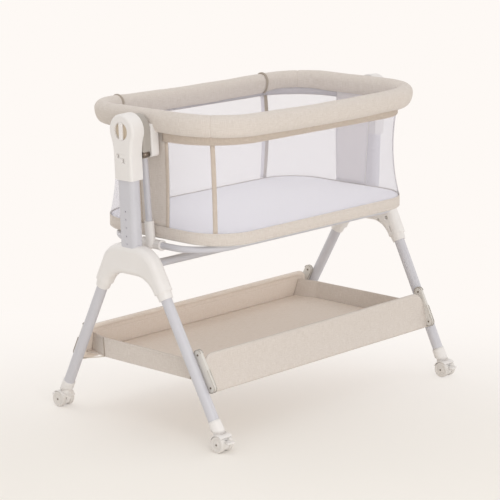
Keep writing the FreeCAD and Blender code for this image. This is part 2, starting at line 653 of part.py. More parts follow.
def pivot_shaft(radius):
    """Level shaft of the right-hand pivot, from its barrel into the head."""
    start = V(pivot_x() - BARREL_DEPTH, 0, pivot_axis_z())
    return rod(start, start + V(BARREL_DEPTH + PIVOT_ENGAGEMENT, 0, 0), radius)


def head_parts():
    """Housing and cover at the right, already leaning."""
    head = tilt(head_solid())
    bore_end = V(pivot_x() + PIVOT_ENGAGEMENT + 1.0, 0, pivot_axis_z())
    bore = rod(V(pivot_x() - 5, 0, pivot_axis_z()), bore_end, PIVOT_RADIUS + RUNNING_GAP)
    head = head.cut(bore)
    half = HEAD_DEPTH / 2
    cover_zone = tilt(box((half - HEAD_COVER_DEPTH, -100, COVER_BOTTOM_Z), (half + 5, 100, HEAD_Z + 100)))
    return head.cut(cover_zone), head.common(cover_zone)


def height_grip():
    """Round grip plate with its bar and plunger, seated in the head's recess."""
    half = HEAD_DEPTH / 2
    floor_x = half - GRIP_RECESS_DEPTH
    centre = V(0, 0, HEAD_Z)
    disc = x_cylinder(centre, GRIP_RADIUS, floor_x + 0.3, floor_x + 0.3 + GRIP_DISC_THICKNESS)
    bar_low = floor_x + 0.3 + GRIP_DISC_THICKNESS
    bar = box((bar_low, -GRIP_BAR_WIDTH / 2, HEAD_Z - GRIP_RADIUS),
              (bar_low + GRIP_BAR_HEIGHT, GRIP_BAR_WIDTH / 2, HEAD_Z + GRIP_RADIUS))
    bar = bar.common(x_cylinder(centre, GRIP_RADIUS, bar_low, bar_low + GRIP_BAR_HEIGHT))
    top = [e for e in long_edges(bar, bar_low + GRIP_BAR_HEIGHT)]
    bar = bar.makeFillet(2.0, top)
    plunger = x_cylinder(centre, 6.0, floor_x - 8.0, floor_x + 1.0)
    return disc.fuse([bar, plunger]).removeSplitter()


# --- crib frame ------------------------------------------------------------------------------
def barrel():
    """Dark round-topped block between head and crib, with the rocking stop's hole."""
    outer_x = -HEAD_DEPTH / 2 - MOVING_GAP
    half = BARREL_HALF_WIDTH
    top = V(0, 0, HEAD_Z)
    low = 12.0
    edges = [
        Part.makeLine(V(0, half, BARREL_BOTTOM_Z + low), V(0, half, HEAD_Z)),
        Part.Arc(V(0, half, HEAD_Z), top + V(0, 0, half), V(0, -half, HEAD_Z)).toShape(),
        Part.makeLine(V(0, -half, HEAD_Z), V(0, -half, BARREL_BOTTOM_Z + low)),
        Part.makeLine(V(0, -half, BARREL_BOTTOM_Z + low), V(0, -half + low, BARREL_BOTTOM_Z)),
        Part.makeLine(V(0, -half + low, BARREL_BOTTOM_Z), V(0, half - low, BARREL_BOTTOM_Z)),
        Part.makeLine(V(0, half - low, BARREL_BOTTOM_Z), V(0, half, BARREL_BOTTOM_Z + low)),
    ]
    block = yz_prism(edges, outer_x - BARREL_DEPTH, outer_x)
    rounded = [e for e in long_edges(block, outer_x) if e.BoundBox.ZMax > BARREL_BOTTOM_Z + 1]
    block = block.makeFillet(2.0, rounded)
    hole = x_cylinder(V(0, LOCK_Y, LOCK_Z), LOCK_HOLE_RADIUS, outer_x - BARREL_DEPTH - 1, outer_x + 1)
    return block.cut(hole)


def barrel_with_pivot():
    return tilt(barrel()).fuse(pivot_shaft(PIVOT_RADIUS)).removeSplitter()


def post(side_radius):
    low = V(POST_BOTTOM[0], 0, POST_BOTTOM[1])
    high = V(POST_TOP[0], 0, POST_TOP[1])
    return rod(low, high, side_radius)


def post_x(z):
    """X of the post's axis at height z."""
    slope = (POST_TOP[0] - POST_BOTTOM[0]) / (POST_TOP[1] - POST_BOTTOM[1])
    return POST_BOTTOM[0] + slope * (z - POST_BOTTOM[1])


def end_bracket():
    """Rounded block that joins barrel, post and rim tube at the right-hand end."""
    outer_x = -HEAD_DEPTH / 2 - MOVING_GAP - BARREL_DEPTH
    depth = FOOT_HALF_LENGTH + RIM_Z * sin_lean / cos_lean + outer_x - RIM_HALF_LENGTH
    half = BRACKET_HALF_WIDTH
    block = box((outer_x - depth, -half, BRACKET_BOTTOM_Z), (outer_x, half, BRACKET_TOP_Z))
    corners = [e for e in block.Edges if abs(e.BoundBox.XLength - depth) < 0.01
               and e.BoundBox.ZMax < BRACKET_BOTTOM_Z + 1]
    block = block.makeFillet(BRACKET_CORNER, corners)
    block = block.cut(x_cylinder(V(0, LOCK_Y, LOCK_Z), LOCK_HOLE_RADIUS, outer_x - 8, outer_x + 1))
    block = tilt(block)
    return block.cut(post(POST_RADIUS)).cut(rim_tube_end_block())


def rim_height(x):
    """Height of the rim's centre line above the floor at a given x."""
    return RIM_Z - RIM_SAG * (1 - (x / RIM_HALF_LENGTH) ** 2)


def rim_stations(x_start):
    """Stations (x, y, direction angle) of the rim from (-x_start, back) round the front to (x_start, back)."""
    straight = RIM_HALF_LENGTH - RIM_CORNER
    side = RIM_HALF_WIDTH - RIM_CORNER
    stations = []
    for k in range(3):
        x = -x_start - (straight - x_start) * k / 2
        stations.append((x, RIM_HALF_WIDTH, 90.0))
    steps = 6
    for k in range(1, steps + 1):
        angle = 90.0 + 90.0 * k / steps
        a = math.radians(angle)
        stations.append((-straight + RIM_CORNER * math.cos(a), side + RIM_CORNER * math.sin(a), angle))
    for k in range(steps + 1):
        angle = 180.0 + 90.0 * k / steps
        a = math.radians(angle)
        stations.append((-straight + RIM_CORNER * math.cos(a), -side + RIM_CORNER * math.sin(a), angle))
    for k in range(1, 4):
        stations.append((-straight * (1 - k / 4), -RIM_HALF_WIDTH, 270.0))
    left = list(stations)
    stations.append((0.0, -RIM_HALF_WIDTH, 270.0))
    for x, y, angle in reversed(left):
        stations.append((-x, y, (540.0 - angle) % 360.0))
    return stations


def unique_stations(stations):
    kept = []
    for station in stations:
        if not kept or math.dist(station[:2], kept[-1][:2]) > 1.0:
            kept.append(station)
    return kept


def pad_section(x, y, angle):
    """Egg-shaped section of the rim pad, across the rim at a station."""
    out = V(math.cos(math.radians(angle)), math.sin(math.radians(angle)), 0)
    centre = V(x, y, rim_height(x))

    def at(across, up):
        return centre + out * across + V(0, 0, up)

    half, top, low = PAD_HALF_WIDTH, PAD_TOP, PAD_BOTTOM
    crown = top - half
    diagonal = half * math.sqrt(0.5)
    tail = half * 0.33
    waist = half * 0.86
    arcs = [
        (at(half, crown), at(diagonal, crown + diagonal), at(0, top)),
        (at(0, top), at(-diagonal, crown + diagonal), at(-half, crown)),
        (at(-half, crown), at(-waist, crown - low * 0.62), at(-tail, -low + 1.5)),
        (at(-tail, -low + 1.5), at(0, -low), at(tail, -low + 1.5)),
        (at(tail, -low + 1.5), at(waist, crown - low * 0.62), at(half, crown)),
    ]
    return Part.Wire([Part.Arc(*points).toShape() for points in arcs])


def tube_section(x, y, angle, radius):
    out = V(math.cos(math.radians(angle)), math.sin(math.radians(angle)), 0)
    centre = V(x, y, rim_height(x) - RIM_TUBE_DROP)
    arcs = []
    for quarter in range(4):
        points = []
        for step in range(3):
            a = math.radians(90 * quarter + 45 * step)
            points.append(centre + out * (radius * math.cos(a)) + V(0, 0, radius * math.sin(a)))
        arcs.append(Part.Arc(*points).toShape())
    return Part.Wire(arcs)


def drop_stations():
    count = 8
    inner = DROP_HALF_LENGTH
    return [(-inner + 2 * inner * k / count, RIM_HALF_WIDTH, 90.0) for k in range(count + 1)]


def rim_pad(stations):
    return Part.makeLoft([pad_section(*s) for s in stations], True, True)


def rim_tube(stations, radius):
    return Part.makeLoft([tube_section(*s, radius) for s in stations], True, True)


def rim_tube_end_block():
    """Straight stretch of the rim tube where the right-hand end bracket clasps it."""
    reach = RIM_HALF_WIDTH - RIM_CORNER
    z = rim_height(RIM_HALF_LENGTH) - RIM_TUBE_DROP
    return rod(V(RIM_HALF_LENGTH, -reach, z), V(RIM_HALF_LENGTH, reach, z), RIM_TUBE_RADIUS)


# --- crib walls ------------------------------------------------------------------------------
def wall_wire(z, inset):
    """Outline of the crib's cloth wall at height z, moved inwards by inset."""
    share = (z - BAND_BOTTOM_Z) / (WALL_TOP_Z - BAND_BOTTOM_Z)
    height = max(0.0, (z - BAND_TOP_Z) / (WALL_TOP_Z - BAND_TOP_Z))
    bow = 4 * height * (1 - height)
    top_x = RIM_HALF_LENGTH - WALL_TOP_INSET
    top_y = RIM_HALF_WIDTH - WALL_TOP_INSET
    half_x = BOTTOM_HALF_LENGTH + (top_x - BOTTOM_HALF_LENGTH) * share - WALL_BOW * bow - inset
    half_y = BOTTOM_HALF_WIDTH + (top_y - BOTTOM_HALF_WIDTH) * share - WALL_BOW * bow - inset
    corner = BOTTOM_CORNER + (WALL_TOP_CORNER - BOTTOM_CORNER) * share + CORNER_BOW * bow - inset
    return rounded_wire(half_x, half_y, corner, z)


def wall_block(z_low, z_high, inset):
    steps = WALL_STEPS if z_high > BAND_TOP_Z + 1 else 1
    levels = [z_low + (z_high - z_low) * k / steps for k in range(steps + 1)]
    return Part.makeLoft([wall_wire(z, inset) for z in levels], True, True)


def wall_ring(z_low, z_high, outside, thickness):
    """Closed band of the wall; outside is how far it stands out from the mesh face."""
    return wall_block(z_low, z_high, -outside).cut(wall_block(z_low, z_high, thickness - outside))


def drop_zone(margin):
    """Space of the drop side above its hinge line."""
    half = DROP_HALF_LENGTH + margin
    return box((-half, 100, BAND_TOP_Z - 1), (half, 400, 1000))


def panel_zone(margin):
    """Wedge along X that holds both end panels, moved outwards by margin."""
    low, high = PANEL_BOTTOM_HALF + margin, PANEL_TOP_HALF + margin
    corners = [V(0, -low, BAND_TOP_Z), V(0, low, BAND_TOP_Z), V(0, high, WALL_TOP_Z), V(0, -high, WALL_TOP_Z)]
    return yz_prism(Part.makePolygon(corners + corners[:1]).Edges, -600, 600)


def corner_strip_zone(sign_x, sign_y):
    """Thin upright slab across a corner, where its binding runs."""
    middle_x = sign_x * (RIM_HALF_LENGTH - RIM_CORNER)
    middle_y = sign_y * (RIM_HALF_WIDTH - RIM_CORNER)
    slab = box((0, -BINDING_WIDTH / 2, BAND_TOP_Z), (2 * RIM_CORNER, BINDING_WIDTH / 2, WALL_TOP_Z))
    angle = math.degrees(math.atan2(sign_y * math.sin(math.radians(CORNER_STRIP_ANGLE)),
                                    sign_x * math.cos(math.radians(CORNER_STRIP_ANGLE))))
    slab.rotate(V(0, 0, 0), V(0, 0, 1), angle)
    slab.translate(V(middle_x, middle_y, 0))
    return slab


def board_z():
    """Underside of the base board, which lies on the ring's long sides."""
    return ring_path()[1] + RING_RADIUS + 0.1


def mattress():
    """Cushion with drawn-in sides and a low crown, inside the walls."""
    bottom = board_z() + BOARD_THICKNESS
    top = bottom + MATTRESS_THICKNESS
    inset = CLOTH_THICKNESS + SOFT_GAP
    levels = ((5.0, bottom), (0.6, bottom + 4), (1.6, (bottom + top) / 2), (0.6, top - 4), (6.0, top),
              (60.0, top + MATTRESS_CROWN))
    return Part.makeLoft([bottom_wire(z, inset + extra) for extra, z in levels], True, True)


def bottom_wire(z, inset):
    """The wall's lower outline, moved inwards by inset and set at height z."""
    wire = wall_wire(BAND_BOTTOM_Z, inset)
    wire.translate(V(0, 0, z - BAND_BOTTOM_Z))
    return wire


def ring_path():
    """Closed path of the base ring: level long sides, ends that dip."""
    dip = math.radians(RING_RISE_ANGLE)
    end_x = RING_HALF_LENGTH
    side_y = RING_HALF_WIDTH
    arc_start_y = side_y - RING_CORNER
    arc_end_x = end_x - RING_CORNER * math.cos(dip)
    arc_end_z = RING_END_Z + RING_CORNER * math.sin(dip)
    middle = math.radians(45)
    arc_mid = V(end_x - RING_CORNER * (1 - math.cos(middle)) * math.cos(dip),
                arc_start_y + RING_CORNER * math.sin(middle),
                RING_END_Z + RING_CORNER * (1 - math.cos(middle)) * math.sin(dip))
    arc_end = V(arc_end_x, side_y, arc_end_z)
    bend = 160.0
    bend_run = bend * math.sin(dip)
    bend_rise = bend * (1 - math.cos(dip))
    level_start = V(arc_end_x - bend_run, side_y, arc_end_z + bend_rise)
    half_dip = dip / 2
    bend_mid = V(level_start.x + bend * math.sin(half_dip), side_y, level_start.z - bend * (1 - math.cos(half_dip)))
    edges = []
    quarter = (("line", V(end_x, 0, RING_END_Z), V(end_x, arc_start_y, RING_END_Z)),
               ("arc", V(end_x, arc_start_y, RING_END_Z), arc_mid, arc_end),
               ("arc", arc_end, bend_mid, level_start),
               ("line", level_start, V(0, side_y, level_start.z)))
    for sign_x, sign_y in ((1, 1), (-1, 1), (-1, -1), (1, -1)):
        for kind, *points in quarter:
            placed = [V(sign_x * p.x, sign_y * p.y, p.z) for p in points]
            edges.append(Part.makeLine(*placed) if kind == "line" else Part.Arc(*placed).toShape())
    return Part.__sortEdges__(edges), level_start.z


def ring_halves(radius):
    """Front and back halves of the ring, which meet in the end fittings."""
    edges, _ = ring_path()
    halves = []
    for sign in (-1, 1):
        chosen = [e for e in edges if sign * e.CenterOfMass.y > 0]
        halves.append(pipe(Part.Wire(Part.__sortEdges__(chosen)), radius))
    return halves


def ring_fitting():
    """Moulded tee that joins a post to the base ring, at the right-hand end."""
    ring_x = RING_HALF_LENGTH
    sleeve = rod(V(ring_x, -FITTING_HALF_WIDTH, RING_END_Z), V(ring_x, FITTING_HALF_WIDTH, RING_END_Z),
                 FITTING_RADIUS)
    socket_start = V(post_x(RING_END_Z), 0, RING_END_Z)
    socket = rod(socket_start, V(post_x(FITTING_TOP_Z), 0, FITTING_TOP_Z), FITTING_RADIUS)
    fitting = sleeve.fuse([socket, Part.makeSphere(FITTING_RADIUS, socket_start)])
    for sign in (-1, 1):
        lip_start = V(ring_x, sign * (FITTING_HALF_WIDTH - FITTING_LIP), RING_END_Z)
        fitting = fitting.fuse(rod(lip_start, lip_start + V(0, sign * FITTING_LIP, 0), FITTING_RADIUS + 1.5))
    fitting = fitting.removeSplitter()
    fitting = fitting.cut(post(POST_RADIUS))
    span = V(0, FITTING_HALF_WIDTH + 5, 0)
    return fitting.cut(rod(V(ring_x, 0, RING_END_Z) - span, V(ring_x, 0, RING_END_Z) + span, RING_RADIUS))


# --- basket ----------------------------------------------------------------------------------
def basket_slope():
    """Angle of a side frame from the vertical, outwards at the bottom."""
    return math.degrees(math.atan2(BASKET_BOTTOM[0] - BASKET_TOP[0], BASKET_TOP[1] - BASKET_BOTTOM[1]))


def basket_height():
    return math.hypot(BASKET_BOTTOM[0] - BASKET_TOP[0], BASKET_TOP[1] - BASKET_BOTTOM[1])


def bracket_inner_x(z):
    """X of a bracket's inner face at height z, at the right-hand end."""
    depth = LEG_DIAMETER / 2 - BRACKET_LEG_SEAT + BRACKET_PLATE
    return FOOT_HALF_LENGTH + z * sin_lean / cos_lean - depth / cos_lean


def frame_half_length():
    """Outer X of the side frames' tube."""
    return bracket_inner_x(BRACKET_MIDDLE_Z) + BRACKET_FRAME_SEAT


def side_frame_outline(inset):
    """Loop of a side frame in its own plane: X along the basket, Z up from the lower edge."""
    half = frame_half_length() - BASKET_TUBE_RADIUS - inset
    low = BASKET_TUBE_RADIUS + inset
    high = basket_height() - BASKET_TUBE_RADIUS - inset
    top_r = BASKET_TOP_CORNER - inset
    low_r = BASKET_LOW_CORNER - inset
    q = math.sqrt(0.5)
    right = [
        ("line", V(0, 0, low), V(half - low_r, 0, low)),
        ("arc", V(half - low_r, 0, low), V(half - low_r * (1 - q), 0, low + low_r * (1 - q)), V(half, 0, low + low_r)),
        ("line", V(half, 0, low + low_r), V(half, 0, high - top_r)),
        ("arc", V(half, 0, high - top_r), V(half - top_r * (1 - q), 0, high - top_r * (1 - q)),
         V(half - top_r, 0, high)),
        ("line", V(half - top_r, 0, high), V(0, 0, high)),
    ]
    edges = []
    for sign in (1, -1):
        for kind, *points in right:
            placed = [V(sign * p.x, p.y, p.z) for p in points]
            edges.append(Part.makeLine(*placed) if kind == "line" else Part.Arc(*placed).toShape())
    return Part.__sortEdges__(edges)


def to_basket_side(shape, side):
    """Lean a piece of the back side frame into place, or mirror it to the front."""
    placed = shape.copy()
    placed.rotate(V(0, 0, 0), V(1, 0, 0), basket_slope())
    placed.translate(V(0, BASKET_BOTTOM[0], BASKET_BOTTOM[1]))
    return placed if side > 0 else placed.mirror(V(0, 0, 0), V(0, 1, 0))


def side_frame(radius):
    """Loop of tube, swept in two mirrored halves that join at x = 0."""
    halves = []
    for sign in (-1, 1):
        chosen = [e for e in side_frame_outline(0.0) if sign * e.CenterOfMass.x > 0]
        halves.append(pipe(Part.Wire(Part.__sortEdges__(chosen)), radius))
    return halves[0].fuse(halves[1]).removeSplitter()


def solid_side_wall():
    """Side wall with its hem, before the frame's tube is taken out."""
    face = Part.Face(Part.Wire(side_frame_outline(0.0)))
    face.translate(V(0, -BASKET_CLOTH / 2, 0))
    return face.extrude(V(0, BASKET_CLOTH, 0)).fuse(side_frame(BASKET_TUBE_RADIUS + HEM_THICKNESS))


def side_wall_y(z):
    """Middle of a side wall's cloth at height z."""
    slope = (BASKET_BOTTOM[0] - BASKET_TOP[0]) / (BASKET_TOP[1] - BASKET_BOTTOM[1])
    return BASKET_BOTTOM[0] - slope * (z - BASKET_BOTTOM[1])


def basket_cloth():
    """Side frames and the cloth panels: two side walls, the floor and two end walls."""
    frames = [to_basket_side(side_frame(BASKET_TUBE_RADIUS), side) for side in (-1, 1)]
    walls = [to_basket_side(solid_side_wall(), side).cut(frame) for side, frame in zip((-1, 1), frames)]
    under = BASKET_FLOOR_Z - BASKET_CLOTH
    reach = side_wall_y(under)
    floor = box((-BASKET_END_X, -reach, under), (BASKET_END_X, reach, BASKET_FLOOR_Z))
    low_z = BASKET_BOTTOM[1] + BASKET_LOW_CORNER
    half = [(BASKET_SEAM_Y, under), (side_wall_y(low_z), low_z), (side_wall_y(BASKET_END_TOP_Z), BASKET_END_TOP_Z)]
    corners = [V(0, y, z) for y, z in half] + [V(0, -y, z) for y, z in reversed(half)]
    outline = Part.makePolygon(corners + corners[:1]).Edges
    panels = [floor]
    for sign in (-1, 1):
        x_low, x_high = sorted((sign * BASKET_END_X, sign * (BASKET_END_X - BASKET_CLOTH)))
        panels.append(yz_prism(outline, x_low, x_high).cut(floor))
    for cutter in frames + [to_basket_side(solid_side_wall(), side) for side in (-1, 1)]:
        panels = [panel.cut(cutter) for panel in panels]
    return frames, walls + [main_solid(panel) for panel in panels]


def main_solid(shape):
    return max(shape.Solids, key=lambda solid: solid.Volume)


def at_four_corners(shape):
    """A piece of the right back corner, mirrored to all four."""
    return [mirrored(mirrored(shape, end, V(0, 1, 0)), side, V(1, 0, 0))
            for _, side in END_SIDES for _, end in LONG_SIDES]


def basket_cord(bracket, cloth):
    """Short tight cord from a floor corner of the basket to its bracket's lower end."""
    inner = bracket_inner_x(CORD_BRACKET_Z)
    start = V(BASKET_END_X - BASKET_CLOTH / 2, BASKET_SEAM_Y, BASKET_FLOOR_Z - BASKET_CLOTH)
    end = V(inner + BRACKET_FRAME_SEAT, leg_axis(CORD_BRACKET_Z).y + BRACKET_OFFSET / 2, CORD_BRACKET_Z)
    cord = rod(start, end, CORD_RADIUS)
    for cutter in [bracket] + cloth:
        cord = cord.cut(cutter)
    return main_solid(cord)


def leg_bracket():
    """Stadium-shaped plate on a leg's inner side that carries a side frame, right back leg."""
    middle = leg_axis(BRACKET_MIDDLE_Z) + V(0, cos_splay, sin_splay) * BRACKET_OFFSET
    plate = rounded_prism(BRACKET_WIDTH / 2, BRACKET_LENGTH / 2, BRACKET_WIDTH / 2 - 0.5, 0, BRACKET_PLATE)
    plate.rotate(V(0, 0, 0), V(0, 1, 0), 90)
    plate.rotate(V(0, 0, 0), V(1, 0, 0), 90 + LEG_SPLAY)
    plate.translate(middle - V(LEG_DIAMETER / 2 - BRACKET_LEG_SEAT + BRACKET_PLATE, 0, 0))
    plate = plate.cut(rod(leg_axis(LEG_EXIT_Z), leg_axis(LEG_END_Z), LEG_DIAMETER / 2))
    return tilt(plate).cut(to_basket_side(side_frame(BASKET_TUBE_RADIUS + HEM_THICKNESS), 1))


# --- build -----------------------------------------------------------------------------------
def build_end_frames():
    outer, inner = hub_shells()
    half = crossbar_half_length()
    outer = tilt(outer)
    inner = tilt(inner).cut(rounded_x_bar(-half, half, 0))
    flip = V(1, 0, 0)
    screws = hub_screws_local()
    fasteners = []
    collars = []
    for name, side in END_SIDES:
        save(name + "_hub_outer_shell", mirrored(outer, side, flip))
        save(name + "_hub_inner_shell", mirrored(inner, side, flip))
        save(name + "_column", to_end(column(), side))
        for end_name, end in LONG_SIDES:
            save("_".join((name, end_name, "leg")), to_end(leg_tube(end), side))
            collars.append(to_end(collar(end), side))
        fasteners += [to_end(screw, side) for screw in screws]
    save("hub_screws", *fasteners)
    save("leg_collars", *collars)
    bar = rounded_x_bar(-half, half, 0).cut(rounded_x_bar(-half, half, CROSSBAR_WALL))
    save("crossbar", bar)


def build_casters():
    wheels, fork, brake, cap = caster_wheels(), caster_fork(), caster_brake(), foot_cap()
    caps = []
    for name, side in END_SIDES:
        for end_name, end in LONG_SIDES:
            label = "_".join((name, end_name, "caster"))
            for piece, shape in (("wheels", wheels), ("fork", fork), ("brake", brake)):
                placed = mirrored(shape, end, V(0, 1, 0)).copy()
                placed.translate(V(side * CASTER_X, 0, 0))
                save(label + "_" + piece, placed)
            caps.append(mirrored(mirrored(cap, end, V(0, 1, 0)), side, V(1, 0, 0)))
    save("foot_caps", *caps)


def build_heads():
    housing, cover = head_parts()
    tube_shape = riser().cut(riser(RISER_WALL))
    pin = lock_pin()
    slider = lock_slider()
    grip = height_grip()
    flip = V(1, 0, 0)
    for name, side in END_SIDES:
        save(name + "_riser_tube", to_end(tube_shape, side))
        save(name + "_head_housing", mirrored(housing, side, flip))
        save(name + "_head_cover", mirrored(cover, side, flip))
        save(name + "_height_grip", to_end(grip, side))
        save(name + "_lock_pin", to_end(pin, side))
        save(name + "_lock_slider", to_end(slider, side))


def build_crib_frame():
    flip = V(1, 0, 0)
    for node, shape in (("pivot_barrels", barrel_with_pivot()), ("end_brackets", end_bracket()),
                        ("end_posts", post(POST_RADIUS).cut(post(POST_RADIUS - POST_WALL))),
                        ("ring_fittings", ring_fitting())):
        save(node, shape, shape.mirror(V(0, 0, 0), flip))
    ring = ring_halves(RING_RADIUS)
    bores = ring_halves(RING_RADIUS - RING_WALL)
    save("base_ring", *[half.cut(bore) for half, bore in zip(ring, bores)])


def build_rim():
    main = unique_stations(rim_stations(DROP_HALF_LENGTH + DROP_GAP))
    drop = drop_stations()
    bracket = end_bracket()
    brackets = [bracket, bracket.mirror(V(0, 0, 0), V(1, 0, 0))]
    tube_main, tube_drop = rim_tube(main, RIM_TUBE_RADIUS), rim_tube(drop, RIM_TUBE_RADIUS)
    pad_main, pad_drop = rim_pad(main), rim_pad(drop)
    save("rim_tube", tube_main)
    save("drop_rim_tube", tube_drop)
    padding = pad_main.cut(tube_main)
    for end in brackets:
        padding = padding.cut(end)
    save("rim_pad", padding)
    save("drop_rim_pad", pad_drop.cut(tube_drop))
    return pad_main, pad_drop


def level_slab(z_low, z_high):
    return box((-900, -900, z_low), (900, 900, z_high))


def panel_edge_zone():
    """Where the bindings along the end panels' upright edges run."""
    return panel_zone(0.0).cut(panel_zone(-BINDING_WIDTH))


def build_walls(pads):
    zip_low = WALL_TOP_Z - ZIP_BAND_HEIGHT
    bracket = end_bracket()
    in_the_way = [pads[0], pads[1], bracket, bracket.mirror(V(0, 0, 0), V(1, 0, 0))]

    def clear(shape):
        for cutter in in_the_way:
            shape = shape.cut(cutter)
        return shape.Solids

    mesh = wall_ring(BAND_TOP_Z, WALL_TOP_Z, 0.0, MESH_THICKNESS)
    cloth = wall_ring(BAND_TOP_Z, WALL_TOP_Z, 0.0, CLOTH_THICKNESS)
    outside = wall_ring(BAND_TOP_Z, WALL_TOP_Z, BINDING_THICKNESS, BINDING_THICKNESS - SEWN_GAP)
    outside = outside.common(level_slab(BAND_TOP_Z, zip_low))
    zip_band = wall_ring(BAND_TOP_Z, WALL_TOP_Z, ZIP_BAND_THICKNESS, ZIP_BAND_THICKNESS - SEWN_GAP)
    zip_band = zip_band.common(level_slab(zip_low, WALL_TOP_Z))
    hinge_gap = level_slab(0, BAND_TOP_Z + DROP_GAP)
    sides = mesh.cut(panel_zone(0.0)).cut(drop_zone(DROP_GAP))
    save("side_mesh", *clear(sides))
    save("end_panels", *clear(cloth.common(panel_zone(0.0))))
    save("drop_mesh", *clear(mesh.common(drop_zone(0.0)).cut(hinge_gap)))
    strips = clear(outside.common(panel_edge_zone())) + clear(zip_band.cut(drop_zone(DROP_GAP)))
    for sign_x in (-1, 1):
        for sign_y in (-1, 1):
            strips += clear(outside.common(corner_strip_zone(sign_x, sign_y)))
        edge_low, edge_high = sorted((sign_x * (DROP_HALF_LENGTH + DROP_GAP),
                                      sign_x * (DROP_HALF_LENGTH + DROP_GAP + BINDING_WIDTH)))
        strips += clear(outside.common(box((edge_low, 100, 0), (edge_high, 400, 1000))))
    save("wall_bindings", *strips)
    hem = outside.common(drop_zone(0.0)).cut(hinge_gap)
    inner_hem = box((-DROP_HALF_LENGTH + BINDING_WIDTH, 0, BAND_TOP_Z + DROP_GAP + BINDING_WIDTH),
                    (DROP_HALF_LENGTH - BINDING_WIDTH, 900, zip_low))
    save("drop_binding", *(clear(hem.cut(inner_hem)) + clear(zip_band.common(drop_zone(0.0)))))
    save("bottom_band", wall_ring(BAND_BOTTOM_Z, BAND_TOP_Z, BINDING_THICKNESS, BINDING_THICKNESS + CLOTH_THICKNESS))


def build_base():
    inset = CLOTH_THICKNESS + SOFT_GAP * 0.4
    board = Part.Face(bottom_wire(board_z(), inset)).extrude(V(0, 0, BOARD_THICKNESS))
    save("base_board", board)
    save("mattress", mattress())


def build_basket():
    frames, cloth = basket_cloth()
    save("basket_front_frame", frames[0])
    save("basket_back_frame", frames[1])
    save("basket_cloth", *cloth)
    bracket = leg_bracket()
    save("basket_brackets", *at_four_corners(bracket))
    save("basket_cords", *at_four_corners(basket_cord(bracket, cloth)))


def main():
    os.makedirs("parts", exist_ok=True)
    build_end_frames()
    build_casters()
    build_heads()
    build_crib_frame()
    build_walls(build_rim())
    build_base()
    build_basket()


main()
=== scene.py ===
"""Bedside sleeper crib, dressed: linen, net, mattress, plastic and coated tube round the packed frame.

Laid out as an add-on with one operator for each group of pieces. All lengths are metres, +Z is up,
+X runs along the crib and +Y points to the side that folds down.
"""

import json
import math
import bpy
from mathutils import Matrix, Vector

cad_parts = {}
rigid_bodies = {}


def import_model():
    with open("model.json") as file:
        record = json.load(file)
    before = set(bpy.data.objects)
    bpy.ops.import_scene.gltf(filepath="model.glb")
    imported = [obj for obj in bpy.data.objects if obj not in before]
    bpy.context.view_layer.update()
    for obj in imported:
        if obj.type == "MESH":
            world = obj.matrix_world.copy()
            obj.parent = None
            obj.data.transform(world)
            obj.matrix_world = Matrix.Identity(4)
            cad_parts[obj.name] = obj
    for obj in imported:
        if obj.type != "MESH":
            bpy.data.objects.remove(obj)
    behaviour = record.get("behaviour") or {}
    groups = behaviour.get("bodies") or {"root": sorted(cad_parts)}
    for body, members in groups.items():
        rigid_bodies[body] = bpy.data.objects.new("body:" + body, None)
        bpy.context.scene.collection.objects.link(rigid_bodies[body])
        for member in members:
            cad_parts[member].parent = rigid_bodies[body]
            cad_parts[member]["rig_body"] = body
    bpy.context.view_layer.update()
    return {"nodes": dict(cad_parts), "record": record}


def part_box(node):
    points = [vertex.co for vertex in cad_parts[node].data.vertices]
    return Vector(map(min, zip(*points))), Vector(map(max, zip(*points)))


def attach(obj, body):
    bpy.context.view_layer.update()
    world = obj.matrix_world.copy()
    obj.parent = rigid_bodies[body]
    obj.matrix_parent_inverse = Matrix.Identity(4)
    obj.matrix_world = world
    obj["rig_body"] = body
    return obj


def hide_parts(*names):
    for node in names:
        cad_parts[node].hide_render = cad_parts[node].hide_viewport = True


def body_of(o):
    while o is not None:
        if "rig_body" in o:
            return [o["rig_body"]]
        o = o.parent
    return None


bl_info = {
    "name": "Bedside Sleeper Crib",
    "version": (1, 0, 0),
    "blender": (4, 5, 0),
    "location": "View3D > Sidebar > Crib",
    "description": "Sews the cloth of a bedside crib round its frame and finishes its plastic and tube",
    "category": "Add Mesh",
}

import bmesh
import bpy
from bpy.props import FloatProperty, FloatVectorProperty, PointerProperty
from mathutils import Matrix, Vector, noise

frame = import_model()

MM = 0.001
WELD = 0.00002                      # vertices nearer than this are one
FULL_TURN = 2 * math.pi
END_SIDES = (("left", -1), ("right", 1))
LONG_SIDES = (("front", -1), ("back", 1))
BACKDROP = "#fef9f5"


# --- small helpers -----------------------------------------------------------------------------
def linear(code, alpha=1.0):
    """An sRGB hex colour as linear red, green, blue and alpha."""
    parts = [int(code[k:k + 2], 16) / 255 for k in (1, 3, 5)]
    return tuple(c / 12.92 if c <= 0.04045 else ((c + 0.055) / 1.055) ** 2.4 for c in parts) + (alpha,)


def node_box(name):
    """Lowest and highest corner of a CAD node."""
    low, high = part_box(name)
    return Vector(low), Vector(high)


def steps(low, high, count):
    """count + 1 even places from low to high."""
    return [low + (high - low) * k / count for k in range(count + 1)]


def bump(distance, width):
    """A soft hill of height 1 at distance 0."""
    return math.exp(-(distance / width) ** 2)


def rumple(place, size, height):
    """Slow unevenness of cloth at a place, in metres."""
    return height * noise.noise(Vector(place) / size)


def outwards(spot):
    """Level direction from the crib's middle to a place."""
    return Vector((spot.x, spot.y, 0)).normalized()


def quarter_round(radius, depth):
    """How far a rounded edge has fallen back, at a depth into its radius."""
    return radius * (1 - math.sqrt(max(0.0, 1 - depth * depth)))


